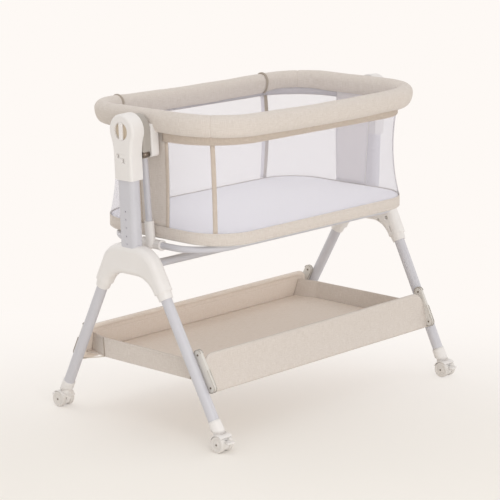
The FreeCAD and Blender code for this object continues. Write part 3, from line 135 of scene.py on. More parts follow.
# --- the outlines that the cloth follows -------------------------------------------------------
class Outline:
    """A rounded rectangle, measured by the distance round it from the middle of its +X end."""

    def __init__(self, half_x, half_y, corner):
        self.half_x = half_x
        self.half_y = half_y
        self.corner = corner
        self.end = half_y - corner
        self.side = half_x - corner
        self.arc = corner * math.pi / 2
        self.quarter = self.end + self.arc + self.side
        self.whole = 4 * self.quarter

    def place(self, distance):
        """X, Y and the direction outwards, at a distance that counts anticlockwise."""
        distance %= self.whole
        turn = int(distance // self.quarter)
        rest = distance - turn * self.quarter
        if turn % 2:
            rest = self.quarter - rest
        if rest <= self.end:
            x, y, out_x, out_y = self.half_x, rest, 1.0, 0.0
        elif rest <= self.end + self.arc:
            angle = (rest - self.end) / self.corner
            out_x, out_y = math.cos(angle), math.sin(angle)
            x, y = self.side + self.corner * out_x, self.end + self.corner * out_y
        else:
            x, y, out_x, out_y = self.side - (rest - self.end - self.arc), self.half_y, 0.0, 1.0
        sign_x = -1 if turn in (1, 2) else 1
        sign_y = -1 if turn in (2, 3) else 1
        return Vector((sign_x * x, sign_y * y)), Vector((sign_x * out_x, sign_y * out_y))

    def at_y(self, y):
        """Distance from the end's middle to where the outline stands y off it."""
        if y <= self.end:
            return y
        return self.end + self.corner * math.asin(min(1.0, (y - self.end) / self.corner))

    def at_x(self, x):
        """Distance from the end's middle to a place x along the long side."""
        return self.end + self.arc + self.side - x


def wall_outline(z):
    """The crib's cloth wall at height z: taut, drawn in half way up, rounder there at its corners."""
    wall = bpy.context.scene.crib_walls
    rim = bpy.context.scene.crib_rim
    share = (z - wall.band_low) / (wall.top - wall.band_low)
    height = max(0.0, (z - wall.band_top) / (wall.top - wall.band_top))
    bow = 4 * height * (1 - height)
    half_x = wall.half_length + (rim.half_length - wall.top_inset - wall.half_length) * share - wall.bow * bow
    half_y = wall.half_width + (rim.half_width - wall.top_inset - wall.half_width) * share - wall.bow * bow
    corner = wall.corner + (wall.top_corner - wall.corner) * share + wall.corner_bow * bow
    return Outline(half_x, half_y, corner)


def wall_place(distance, z, proud):
    """A point of the wall; the distance is measured on the bare wall, then moved out by proud."""
    spot, out = wall_outline(z).place(distance)
    return Vector((spot.x + out.x * proud, spot.y + out.y * proud, z))


def rim_outline():
    """The middle line of the padded rim, from above."""
    rim = bpy.context.scene.crib_rim
    return Outline(rim.half_length, rim.half_width, rim.corner)


def rim_height(x):
    """Height of the rim's centre line, which dips a little between the ends."""
    rim = bpy.context.scene.crib_rim
    return rim.height - rim.sag * (1 - (x / rim.half_length) ** 2)


# --- making pieces -----------------------------------------------------------------------------
def new_shape():
    """An empty shape with the UV map that the cloth finishes read."""
    shape = bmesh.new()
    shape.loops.layers.uv.new("cloth")
    return shape


def cloth(columns, rows, place, weld=False):
    """A grid with a vertex at each column and row; its UVs are those two measures, in metres."""
    grid = new_shape()
    uv_layer = grid.loops.layers.uv.active
    bmesh.ops.create_grid(grid, x_segments=len(columns) - 1, y_segments=len(rows) - 1, size=0.5)
    for vertex in grid.verts:
        column = columns[round((vertex.co.x + 0.5) * (len(columns) - 1))]
        row = rows[round((vertex.co.y + 0.5) * (len(rows) - 1))]
        for loop in vertex.link_loops:
            loop[uv_layer].uv = (column, row)
        vertex.co = place(column, row)
    if weld:
        bmesh.ops.remove_doubles(grid, verts=grid.verts, dist=WELD)
    return grid


def cap_ends(shape):
    """Closes each open end with a ring of sewn-in faces."""
    open_edges = [edge for edge in shape.edges if edge.is_boundary]
    bmesh.ops.holes_fill(shape, edges=open_edges, sides=0)
    bmesh.ops.recalc_face_normals(shape, faces=shape.faces)


def lay_uvs(shape, choose):
    """Gives every face corner the UV that a function chooses from its face, its old UV and its place."""
    uv_layer = shape.loops.layers.uv.active
    for face in shape.faces:
        for loop in face.loops:
            loop[uv_layer].uv = choose(face, loop[uv_layer].uv, loop.vert.co)


def drawn_out(shape):
    """Makes a sheet double, joined round its edge; returns the vertices of the new face, to be moved."""
    back = bmesh.ops.extrude_face_region(shape, geom=list(shape.faces))
    return [item for item in back["geom"] if isinstance(item, bmesh.types.BMVert)]


def level_edges(shape, axis):
    """The edges that lie square to an axis."""
    return [edge for edge in shape.edges if abs(edge.verts[0].co[axis] - edge.verts[1].co[axis]) < WELD]


def soften(shape, edges, radius, segments=3):
    """Rounds edges over, as a mould does."""
    bmesh.ops.bevel(shape, geom=edges, offset=radius, offset_type="OFFSET", affect="EDGES", segments=segments,
                    profile=0.5, material=-1)


def rod(start, end, radius, segments=24, end_radius=None):
    """A round bar between two points."""
    shape = new_shape()
    run = end - start
    turn = run.to_track_quat("Z", "Y").to_matrix().to_4x4()
    bmesh.ops.create_cone(shape, cap_ends=True, segments=segments, radius1=radius,
                          radius2=radius if end_radius is None else end_radius, depth=run.length,
                          matrix=Matrix.Translation((start + end) / 2) @ turn)
    return shape


def joined(shapes):
    """Several shapes as one."""
    whole = shapes[0]
    for shape in shapes[1:]:
        part = bpy.data.meshes.new("joining")
        shape.to_mesh(part)
        shape.free()
        whole.from_mesh(part)
        bpy.data.meshes.remove(part)
    return whole


def add_piece(name, shape, body, finish, stands_for=(), thickness=0.0, inner=None):
    """Turns a shape into an object that moves with a body; a thickness makes a sheet of cloth."""
    if thickness == 0.0:
        bmesh.ops.recalc_face_normals(shape, faces=shape.faces)
    mesh = bpy.data.meshes.new(name)
    shape.to_mesh(mesh)
    shape.free()
    mesh.materials.append(FINISHES[finish])
    if inner:
        mesh.materials.append(FINISHES[inner])
    mesh.shade_smooth()
    piece = bpy.data.objects.new(name, mesh)
    bpy.context.scene.collection.objects.link(piece)
    if thickness:
        wall = piece.modifiers.new("cloth thickness", "SOLIDIFY")
        wall.thickness = thickness
        wall.offset = -1.0
        wall.material_offset = 1 if inner else 0
    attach(piece, body)
    if stands_for:
        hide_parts(*stands_for)
    return piece


# --- materials ---------------------------------------------------------------------------------
def add_node(tree, kind, inputs=None, **settings):
    """Adds a shader node; an input given as a socket is linked, any other value is set."""
    made = tree.nodes.new("ShaderNode" + kind)
    for key, value in settings.items():
        setattr(made, key, value)
    for key, value in (inputs or {}).items():
        if isinstance(value, bpy.types.NodeSocket):
            tree.links.new(value, made.inputs[key])
        else:
            made.inputs[key].default_value = value
    return made


def new_finish(name, inputs):
    """A material with one Principled shader; returns both it and its tree and shader."""
    finish = bpy.data.materials.new(name)
    finish.use_nodes = True
    tree = finish.node_tree
    tree.nodes.clear()
    shader = add_node(tree, "BsdfPrincipled", inputs)
    output = add_node(tree, "OutputMaterial")
    tree.links.new(shader.outputs["BSDF"], output.inputs["Surface"])
    return finish, tree, shader


def cloth_uv(tree):
    """The measures along a cloth, in metres."""
    return add_node(tree, "UVMap", uv_map="cloth").outputs["UV"]


def solid_place(tree):
    """The place inside a moulded or turned part, in metres."""
    return add_node(tree, "TexCoord").outputs["Object"]


def combined(tree, kind, one, other):
    """Two sockets or numbers joined by a sum, a maximum or another Math operation."""
    return add_node(tree, "Math", {0: one, 1: other}, operation=kind).outputs[0]


def cloud(tree, place, size, detail, **more):
    """Soft noise whose features are about the given size."""
    inputs = {"Vector": place, "Scale": 1 / size, "Detail": detail, **more}
    return add_node(tree, "TexNoise", inputs).outputs["Fac"]


def ribs(tree, place, pitch, direction, **more):
    """Fine even waves along one direction."""
    inputs = {"Vector": place, "Scale": 0.05 / pitch * math.pi, **more}
    return add_node(tree, "TexWave", inputs, bands_direction=direction).outputs["Fac"]


def dots(tree, place, pitch, scatter):
    """Distance from the nearest of many scattered points, in pitches."""
    inputs = {"Vector": place, "Scale": 1 / pitch, "Randomness": scatter}
    return add_node(tree, "TexVoronoi", inputs, feature="F1", voronoi_dimensions="2D").outputs["Distance"]


def ranged(tree, value, span=(0.0, 1.0), onto=(0.0, 1.0), **settings):
    """A value's span mapped onto another."""
    inputs = {"Value": value, "From Min": span[0], "From Max": span[1], "To Min": onto[0], "To Max": onto[1]}
    return add_node(tree, "MapRange", inputs, **settings).outputs["Result"]


def paint(tree, shader, factor, low, high):
    """Colours a shader between two shades."""
    mix = tree.nodes.new("ShaderNodeMix")
    mix.data_type = "RGBA"
    tree.links.new(factor, mix.inputs[0])
    mix.inputs[6].default_value = linear(low)
    mix.inputs[7].default_value = linear(high)
    tree.links.new(mix.outputs[2], shader.inputs["Base Color"])


def emboss(tree, shader, height, strength, distance):
    """Raises a shader's surface."""
    relief = add_node(tree, "Bump", {"Strength": strength, "Distance": distance, "Height": height})
    tree.links.new(relief.outputs["Normal"], shader.inputs["Normal"])


def blend_surface(tree, factor, one, other):
    """Makes a tree's surface a blend of two shaders."""
    mix = add_node(tree, "MixShader", {0: factor, 1: one.outputs[0], 2: other.outputs[0]})
    output = next(node for node in tree.nodes if node.type.startswith("OUTPUT"))
    tree.links.new(mix.outputs["Shader"], output.inputs["Surface"])


def seen_straight(tree):
    """1 where the camera looks at a thing, also by a gloss or through a clear sheet, and else 0."""
    rays = add_node(tree, "LightPath").outputs
    seen = combined(tree, "MAXIMUM", rays["Is Camera Ray"], rays["Is Glossy Ray"])
    return combined(tree, "MAXIMUM", seen, rays["Is Transmission Ray"])


def woven_linen(name, light, dark, thread=1.4 * MM):
    """Linen-look polyester, plain weave: matt, slubby threads of two close shades, fuzz at grazing angles.

    The real thread is taken to be about 0.5 mm; it is drawn at 1.4 mm so that the weave still shows.
    """
    finish, tree, shader = new_finish(name, {"Roughness": 0.88, "Sheen Weight": 0.12, "Sheen Roughness": 0.5,
                                             "Specular IOR Level": 0.25})
    uv = cloth_uv(tree)
    slubs = []
    for stretch in ((1 / 14, 1.0, 1.0), (1.0, 1 / 14, 1.0)):
        mapping = add_node(tree, "Mapping", {"Vector": uv, "Scale": stretch})
        slubs.append(cloud(tree, mapping.outputs["Vector"], thread, 2.0, Roughness=0.6))
    spread = ranged(tree, combined(tree, "ADD", *slubs), (0.72, 1.28))
    paint(tree, shader, spread, dark, light)
    waves = [ribs(tree, uv, thread, direction, Distortion=0.6, Detail=1.0) for direction in "XY"]
    weave = combined(tree, "MAXIMUM", *waves)
    emboss(tree, shader, combined(tree, "ADD", weave, spread), 0.35, 0.25 * MM)
    return finish


def thin_white_tape(name, colour):
    """Thin white tape that lines the cloth: half the light that reaches it comes through from its other side.
    """
    finish, tree, shader = new_finish(name, {"Roughness": 0.85, "Base Color": linear(colour),
                                             "Specular IOR Level": 0.2})
    through = add_node(tree, "BsdfTranslucent", {"Color": linear(colour)})
    emboss(tree, shader, cloud(tree, cloth_uv(tree), 1.2 * MM, 2.0), 0.2, 0.1 * MM)
    blend_surface(tree, 0.5, shader, through)
    return finish


def knitted_net(name, colour, cover, pitch=2.6 * MM):
    """Warp-knitted polyester net: thin bright threads round open holes, so what lies behind shows through.

    The real holes are taken to be about 1.2 mm apart; they are drawn at 2.6 mm so that they show close by.
    """
    finish, tree, shader = new_finish(name, {"Roughness": 0.75, "Base Color": linear(colour),
                                             "Specular IOR Level": 0.3})
    holes = dots(tree, cloth_uv(tree), pitch, 0.12)
    thread = ranged(tree, holes, (0.28, 0.52), (cover * 0.65, min(1.0, cover * 1.45)))
    tree.links.new(thread, shader.inputs["Alpha"])
    return finish


def quilted_knit(name, light, speck):
    """Mattress cover, fine cotton jersey: white with faint scattered specks and a small knit rib."""
    finish, tree, shader = new_finish(name, {"Roughness": 0.9, "Sheen Weight": 0.1,
                                             "Specular IOR Level": 0.2})
    uv = cloth_uv(tree)
    near = ranged(tree, dots(tree, uv, 26 * MM, 0.85), (0.05, 0.12), (1.0, 0.0))
    paint(tree, shader, near, light, speck)
    rib = ribs(tree, uv, 1.6 * MM, "X", Distortion=0.4)
    emboss(tree, shader, combined(tree, "ADD", rib, cloud(tree, uv, 30 * MM, 2.0)), 0.3, 0.3 * MM)
    return finish


def spark_grain(tree, shader, place):
    """The fine spark-eroded grain of a mould, which breaks the highlight."""
    emboss(tree, shader, cloud(tree, place, 0.6 * MM, 2.0), 0.18, 0.05 * MM)


def moulded(name, colour, shade, roughness):
    """Injection-moulded plastic: even colour, satin gloss and a fine grain."""
    finish, tree, shader = new_finish(name, {"IOR": 1.49, "Specular IOR Level": 0.45})
    place = solid_place(tree)
    clouds = cloud(tree, place, 70 * MM, 3.0)
    paint(tree, shader, clouds, shade, colour)
    gloss = ranged(tree, clouds, onto=(roughness - 0.05, roughness + 0.07))
    tree.links.new(gloss, shader.inputs["Roughness"])
    spark_grain(tree, shader, place)
    return finish


def grip_with_painted_recess_shade(name, bar, disc, split):
    """Round height grip: a white bar across a disc that lies deeper, painted sand-beige as shade in its
    recess.
    """
    finish, tree, shader = new_finish(name, {"Roughness": 0.42, "IOR": 1.49, "Specular IOR Level": 0.45})
    place = solid_place(tree)
    off = add_node(tree, "SeparateXYZ", {"Vector": place}).outputs["X"]
    off = add_node(tree, "Math", {0: off}, operation="ABSOLUTE").outputs[0]
    # Painted shade: the deeper disc, nearer the middle than the split, is coloured darker beige.
    paint(tree, shader, combined(tree, "GREATER_THAN", off, split), disc, bar)
    spark_grain(tree, shader, place)
    return finish


def coated_tube(name, colour, shade):
    """Powder-coated steel tube: cool pale grey with a satin sheen and the coat's slight orange peel."""
    finish, tree, shader = new_finish(name, {"Metallic": 0.0, "Specular IOR Level": 0.5, "Coat Weight": 0.15,
                                             "Coat Roughness": 0.3})
    place = solid_place(tree)
    clouds = cloud(tree, place, 40 * MM, 3.0)
    paint(tree, shader, clouds, shade, colour)
    tree.links.new(ranged(tree, clouds, onto=(0.36, 0.5)), shader.inputs["Roughness"])
    emboss(tree, shader, cloud(tree, place, 1.8 * MM, 1.0), 0.2, 0.06 * MM)
    return finish


def turned_steel(name, colour):
    """Zinc-plated steel of screws and pins: bright, with fine turned rings that streak the highlight."""
    finish, tree, shader = new_finish(name, {"Metallic": 1.0, "Base Color": linear(colour)})
    rings = cloud(tree, solid_place(tree), 0.8 * MM, 2.0)
    tree.links.new(ranged(tree, rings, onto=(0.22, 0.42)), shader.inputs["Roughness"])
    return finish


def pressed_board(name, face, fibre):
    """Hardboard under the mattress: pale, matt, with short pressed fibres."""
    finish, tree, shader = new_finish(name, {"Roughness": 0.8})
    mapping = add_node(tree, "Mapping", {"Vector": solid_place(tree), "Scale": (0.15, 1.0, 1.0)})
    paint(tree, shader, cloud(tree, mapping.outputs["Vector"], 1.5 * MM, 3.0), fibre, face)
    return finish


FINISHES = {}
# Painted light: the basket's inside faces and floor get a lighter copy of the linen, because the lamps bring
# little light into the basket.
WEAVES = {"linen": ("woven_linen", "#dfd7d0", "#d0c6bd"),
          "strip": ("woven_linen_tape", "#d2c5b9", "#c3b5a7"),
          "piping": ("linen_piping", "#b9aea2", "#a89c90"),
          "lining": ("woven_linen_lining", "#f2e8df", "#e6d9cd"),
          # Painted shade: the zip flap's linen is darker for the shadow that the rim casts on it.
          "zip_flap": ("zip_flap_linen", "#cfc2b6", "#bcafa2"),
          "cord": ("braided_cotton_cord", "#e6ddd0", "#d5cabb")}
PLASTICS = {"plate": ("moulded_abs_warm_grey", "#dcd8d3", "#d5d1cb", 0.45),
            "white_plastic": ("moulded_abs_warm_white", "#ece9e7", "#e6e2df", 0.42),
            "wheel_plastic": ("moulded_nylon_wheel", "#e4e0dc", "#dbd6d1", 0.38),
            "grey_plastic": ("moulded_glass_nylon_grey", "#b3ada6", "#a8a29b", 0.5)}
# Painted shade: nearer the crib's middle than this, the grip's deeper disc is coloured darker.
GRIP_SPLIT = 0.5172                 # the grip's bar is proud of its disc past this far from the crib's middle


def make_finishes():
    """Every finish, by the name that the pieces ask for."""
    for kind, table in ((woven_linen, WEAVES), (moulded, PLASTICS)):
        for key, values in table.items():
            FINISHES[key] = kind(*values)
    FINISHES["white_tape"] = thin_white_tape("white_net_tape", "#f4f2f5")
    FINISHES["net"] = knitted_net("knitted_net", "#e3e1ea", 0.2)
    FINISHES["mattress"] = quilted_knit("cotton_jersey_cover", "#f0eff4", "#dcdbe4")
    FINISHES["grey_tube"] = coated_tube("powder_coated_tube", "#cfced3", "#c8c7cd")
    FINISHES["steel"] = turned_steel("zinc_plated_steel", "#b9b4ad")
    # Dark rivet steel, also used as painted shade inside the lock holes.
    FINISHES["dark_steel"] = turned_steel("darkened_steel_rivet", "#7d7268")
    # The grip's disc colour is painted shade for its recess.
    FINISHES["grip"] = grip_with_painted_recess_shade("two_shot_abs_grip", "#ece9e7", "#cdbfab", GRIP_SPLIT)
    FINISHES["board"] = pressed_board("pressed_hardboard", "#ece8e3", "#dfdad3")


# --- settings ----------------------------------------------------------------------------------
def length_property(name, description, default):
    """A length in metres that isn't negative."""
    return FloatProperty(name=name, description=description, default=default, min=0.0, subtype="DISTANCE",
                         unit="LENGTH")


_RIM_LOW, RIM_HIGH = node_box("rim_pad")
BAND_LOW, BAND_HIGH = node_box("bottom_band")
PAD_HALF = 0.0225


class CribRimSettings(bpy.types.PropertyGroup):
    """Sizes of the padded rim."""

    pad_half: length_property("Pad half width", "Half the width of the padded rim", PAD_HALF)
    pad_low: length_property("Pad depth", "From the widest place of the pad to its lower edge", 0.0375)
    pad_rise: length_property("Pad rise", "Widest place of the pad above the rim's centre line", 0.0075)
    half_length: length_property("Half length", "Middle of the rim at its ends", RIM_HIGH.x - PAD_HALF)
    half_width: length_property("Half width", "Middle of the rim at its long sides", RIM_HIGH.y - PAD_HALF)
    corner: length_property("Corner", "Radius of the rim's corners", 0.136)
    height: length_property("Height", "Middle of the rim above the floor", RIM_HIGH.z - 0.030)
    sag: length_property("Sag", "How much lower the rim is between its ends", 0.008)
    piping: length_property("Piping", "Radius of the piping at the drop side's ends", 0.0040)


class CribWallSettings(bpy.types.PropertyGroup):
    """Sizes of the cloth and net walls."""

    band_low: length_property("Band lower edge", "Lower edge of the linen band", BAND_LOW.z)
    band_top: length_property("Band upper edge", "Upper edge of the linen band", BAND_HIGH.z)
    top: length_property("Top", "Where the walls end inside the rim pad", 0.818)
    half_length: length_property("Half length", "Bottom of the walls, along the crib", 0.403)
    half_width: length_property("Half width", "Bottom of the walls, across the crib", 0.245)
    corner: length_property("Bottom corner", "Corner radius at the bottom", 0.118)
    top_corner: length_property("Top corner", "Corner radius at the top", 0.146)
    top_inset: length_property("Top inset", "How far the walls hang inside the rim's middle", 0.008)
    bow: length_property("Bow", "How far the taut walls draw in half way up", 0.004)
    corner_bow: length_property("Corner bow", "How much rounder the corners get half way up", 0.026)
    panel_low: length_property("Panel bottom", "Half the width of an end panel at its bottom", 0.055)
    panel_top: length_property("Panel top", "Half the width of an end panel at its top", 0.066)
    drop_half: length_property("Drop side", "Half the length of the side that folds down", 0.288)
    gap: length_property("Gap", "Between the drop side and its neighbours", 0.0008)
    zip_low: length_property("Zip band", "Lower edge of the zip band under the rim", 0.778)
    zip_cut: length_property("Zip band's cut", "Flat height of the zip band where it is highest", 0.0385)
    zip_raised: length_property("Zip band at the back", "How much higher the zip band ends at the back",
                                0.015)
    strip: length_property("Binding", "Width of the sewn bindings", 0.012)


class CribBasketSettings(bpy.types.PropertyGroup):
    """Sizes of the storage basket."""

    top_y: length_property("Top", "Side wall's upper tube from the middle", 0.222)
    low_y: length_property("Bottom", "Side wall's lower edge from the middle", 0.247)
    top_z: length_property("Top height", "Upper edge of the side walls", 0.239)
    low_z: length_property("Bottom height", "Lower edge of the side walls", 0.141)
    hem: length_property("Hem radius", "Radius of the sleeve round the frame tube", 0.0066)
    sleeve: length_property("Sleeve", "Depth of the sewn sleeve along the top", 0.028)
    end_x: length_property("End", "Outer face of the end walls", 0.442)
    end_top: length_property("End height", "Upper edge of the end walls", 0.215)
    floor_z: length_property("Floor", "Upper face of the basket's floor at its edges", 0.163)
    seam_y: length_property("Corner seam", "Where the end walls' corner seams start", 0.165)
    seam_top: length_property("Corner seam top", "Where the end walls' corner seams end", 0.169)
    sag: length_property("Sag", "How far the floor hangs down in its middle", 0.005)


class CribStageSettings(bpy.types.PropertyGroup):
    """Camera, lamps and floor."""

    azimuth: FloatProperty(name="Azimuth", description="Camera's turn about the upright", subtype="ANGLE",
                           default=math.radians(-46.94))
    pitch: FloatProperty(name="Pitch", description="How far the camera looks down", subtype="ANGLE",
                         default=math.radians(12.67))
    roll: FloatProperty(name="Roll", description="Camera's tilt about its own axis", subtype="ANGLE",
                        default=math.radians(-0.33))
    place: FloatVectorProperty(name="Place", description="Where the camera stands", subtype="TRANSLATION",
                               default=(-4.07805, -3.78007, 1.66066))
    lens: FloatProperty(name="Lens", description="Focal length in mm on a 36 mm sensor", default=145.709)
    key: FloatProperty(name="Key", description="Power of the large soft lamp in watts", default=35.0)
    sky: FloatProperty(name="Sky", description="Strength of the light from all round", default=0.74)


class CribHardwareSettings(bpy.types.PropertyGroup):
    """Sizes of the pivot blocks, brackets, foot sockets and basket plates."""

    foot_x: length_property("Foot", "A leg plane from the middle, at the floor", 0.469)
    lean: FloatProperty(name="Lean", description="How far each end frame leans outwards", subtype="ANGLE",
                        default=math.radians(2.17))
    splay: FloatProperty(name="Splay", description="Between a leg and the column", subtype="ANGLE",
                         default=math.radians(27.8))
    leg_exit_y: length_property("Leg exit", "Where a leg leaves its hub, from the middle", 0.121)
    leg_exit_z: length_property("Leg exit height", "Where a leg leaves its hub, above the floor", 0.377)
    head_z: length_property("Head", "Rocking axis above the floor, up the lean", 0.814)
    barrel_out: FloatProperty(name="Block face", description="Outer face of the pivot block", default=-0.0221,
                              subtype="DISTANCE", unit="LENGTH")
    barrel_depth: length_property("Block depth", "Depth of the pivot block", 0.0265)
    barrel_half: length_property("Block half width", "Half the width of the pivot block", 0.038)
    barrel_below: length_property("Block drop", "From the rocking axis to the block's lower edge", 0.078)
    bracket_depth: length_property("Bracket depth", "Depth of the bracket at the rim", 0.026)
    bracket_half: length_property("Bracket half width", "Half the width of the bracket", 0.042)
    bracket_low: length_property("Bracket low", "Lower edge of the bracket", 0.738)
    bracket_top: length_property("Bracket top", "Upper edge of the bracket", 0.826)
    socket_top: length_property("Socket top", "Where a leg comes out of its foot socket", 0.078)
    plate_z: length_property("Plate height", "Middle of a basket plate along its leg", 0.190)
    plate_off: length_property("Plate offset", "Middle of a basket plate from its leg's axis", 0.019)
    plate_outer: FloatProperty(name="Plate face", description="Outer face of a basket plate", default=-0.0135,
                               subtype="DISTANCE", unit="LENGTH")


SETTINGS = (("crib_rim", CribRimSettings), ("crib_walls", CribWallSettings),
            ("crib_basket", CribBasketSettings), ("crib_hardware", CribHardwareSettings),
            ("crib_stage", CribStageSettings))


# --- rim ---------------------------------------------------------------------------------------
BESIDE_SEAM = (-4, -2.5, -1.2, -0.6, 0, 0.6, 1.2, 2.5, 4)      # mm, where the pad gets vertices at a seam
SEAM_SHARE = 0.44                   # how far into a corner's arc the rim's cross seams lie


def pad_place(distance, around, grow=0.0):
    """A point of the rim pad: distance round the rim, angle round its egg-shaped section."""
    rim = bpy.context.scene.crib_rim
    spot, out = rim_outline().place(distance)
    across = (rim.pad_half + grow) * math.cos(around)
    rise = rim.pad_half + grow if math.sin(around) > 0 else rim.pad_low + grow
    up = rim.pad_rise + rise * math.sin(around)
    return Vector((spot.x + out.x * across, spot.y + out.y * across, rim_height(spot.x) + up))


def pad_stretch(start, end, count, seams=()):
    """Closed, stuffed length of the rim pad with its cross seams drawn in."""
    rim = bpy.context.scene.crib_rim
    columns = sorted(steps(start, end, count) + [s + k * MM for s in seams for k in BESIDE_SEAM])
    girth = math.pi * (rim.pad_half + (rim.pad_half + rim.pad_low) / 2)

    def place(column, row):
        around = row / girth * FULL_TURN
        pinch = sum(bump(column - s, 1.4 * MM) + 0.35 * bump(column - s, 9 * MM) for s in seams)
        ends = bump(column - start, 4 * MM) + bump(column - end, 4 * MM)
        plain = pad_place(column, around)
        uneven = rumple(plain, 0.09, 1.1 * MM) + rumple(plain, 0.035, 0.35 * MM)
        grow = uneven - 1.5 * MM * pinch - 1.2 * MM * ends
        return pad_place(column, around, grow)

    shape = cloth(columns, steps(0.0, girth, 36), place, weld=True)
    cap_ends(shape)
    return shape


def piping_ring(distance, radius):
    """Cord of cloth that runs across the pad, flattened a little where it lies on it."""
    def place(around, turn):
        return pad_place(distance + radius * math.cos(turn), around, radius * 0.8 * math.sin(turn))

    shape = cloth(steps(0.0, FULL_TURN, 48), steps(0.0, FULL_TURN, 10), place, weld=True)
    bmesh.ops.recalc_face_normals(shape, faces=shape.faces)
    return shape


class CRIB_OT_rim(bpy.types.Operator):
    """Stuffs and sews the padded rim, in its long part and its drop part"""

    bl_idname = "crib.rim"
    bl_label = "Padded rim"

    def execute(self, context):
        wall = context.scene.crib_walls
        rim = context.scene.crib_rim
        outline = rim_outline()
        half_way = outline.quarter * 2
        seam = outline.end + outline.arc * SEAM_SHARE
        seams = [middle + side * seam for middle in (half_way, outline.whole) for side in (-1, 1)]
        open_at = outline.at_x(wall.drop_half + wall.gap)
        drop_at = outline.at_x(wall.drop_half)
        long_part = pad_stretch(half_way - open_at, outline.whole + open_at, 300, seams)
        drop_part = pad_stretch(drop_at, half_way - drop_at, 110)
        for name, shape, body, nodes in (("rim_pad_cover", long_part, "crib", ["rim_pad", "rim_tube"]),
                                         ("drop_rim_pad_cover", drop_part, "drop_side",
                                          ["drop_rim_pad", "drop_rim_tube"])):
            add_piece(name, shape, body, "linen", nodes)
        edge = wall.gap + rim.piping
        ring_at = outline.at_x(wall.drop_half + edge)
        rings = [piping_ring(distance, rim.piping) for distance in (ring_at, half_way - ring_at)]
        add_piece("rim_piping", joined(rings), "crib", "piping", ["rim_pad"])
        return {"FINISHED"}


# --- walls -------------------------------------------------------------------------------------
NET_THICK = 0.8 * MM
PANEL_THICK = 2.0 * MM
FLAP_THICK = 1.2 * MM
BAND_THICK = 1.6 * MM
HIDDEN_TOP = 0.006                  # the walls end this far below their seam inside the rim pad
HALF_UP = 0.68                      # height where the front net's length is taken
BRACKET_CLEAR = 0.047               # half the width that the zip band leaves free for an end bracket
ROLLED = (0.1, 0.8, 1.0, 0.8, 0.1)  # mm that a sewn strip stands out, from edge to edge
# Pairs of mm: up from the lower edge, and out from the wall there.
ZIP_FLAP = ((0.0, 0.2), (0.6, 2.2), (2.0, 3.0), (4.5, 3.2), (6.0, 2.0), (7.5, 2.4), (12.0, 2.5), (20.0, 2.4),
            (36.0, 2.2))
BAND_HEMS = ((0.0, 0.3), (0.5, 1.0), (4.0, 1.1), (5.0, 0.5), (6.0, 1.0), (16.0, 1.0), (26.0, 1.0),
             (27.0, 0.5), (28.0, 1.1), (31.5, 1.0), (32.0, 0.3))


def wall_stretch(start_at, end_at, count, heights, proud):
    """A stretch of wall between two edges whose distance round the outline changes with the height."""
    middle = (heights[0] + heights[-1]) / 2
    length = end_at(middle) - start_at(middle)

    def place(column, z):
        distance = start_at(z) + (end_at(z) - start_at(z)) * (column / length)
        return wall_place(distance, z, proud(z) if callable(proud) else proud)

    return cloth([c * length for c in steps(0.0, 1.0, count)], heights, place)


def panel_edge(end, side, z):
    """Distance round the outline to an end panel's edge; end and side are -1 or 1."""
    wall = bpy.context.scene.crib_walls
    share = (z - wall.band_top) / (wall.top - wall.band_top)
    outline = wall_outline(z)
    off = outline.at_y(wall.panel_low + (wall.panel_top - wall.panel_low) * share) * side
    return off if end > 0 else outline.quarter * 2 - off


def back_edge(end, x, z):
    """Distance round the outline to a place on the back wall, x from its middle."""
    outline = wall_outline(z)
    return outline.quarter - x if end > 0 else outline.quarter + x


def drop_right(z):
    """Distance round the outline to the drop side's right edge."""
    return back_edge(1, bpy.context.scene.crib_walls.drop_half, z)


def drop_left(z):
    """Distance round the outline to the drop side's left edge."""
    return back_edge(-1, bpy.context.scene.crib_walls.drop_half, z)


def corner_seam(end, z):
    """Distance round the outline to a front corner's binding, which leans towards the end as it rises."""
    wall = bpy.context.scene.crib_walls
    rim = bpy.context.scene.crib_rim
    share = (z - wall.band_top) / (wall.zip_low - wall.band_top)
    wanted = math.radians(43.5 - 3.0 * max(0.0, share) ** 1.5)
    outline = wall_outline(z)
    centre = Vector((rim.half_length - rim.corner, rim.half_width - rim.corner))
    low, high = outline.end * 0.2, outline.quarter
    for _ in range(24):
        middle = (low + high) / 2
        spot, _out = outline.place(middle)
        turned = math.atan2(spot.y - centre.y, spot.x - centre.x)
        low, high = (middle, high) if turned < wanted else (low, middle)
    distance = (low + high) / 2
    return -distance if end > 0 else outline.quarter * 2 + distance


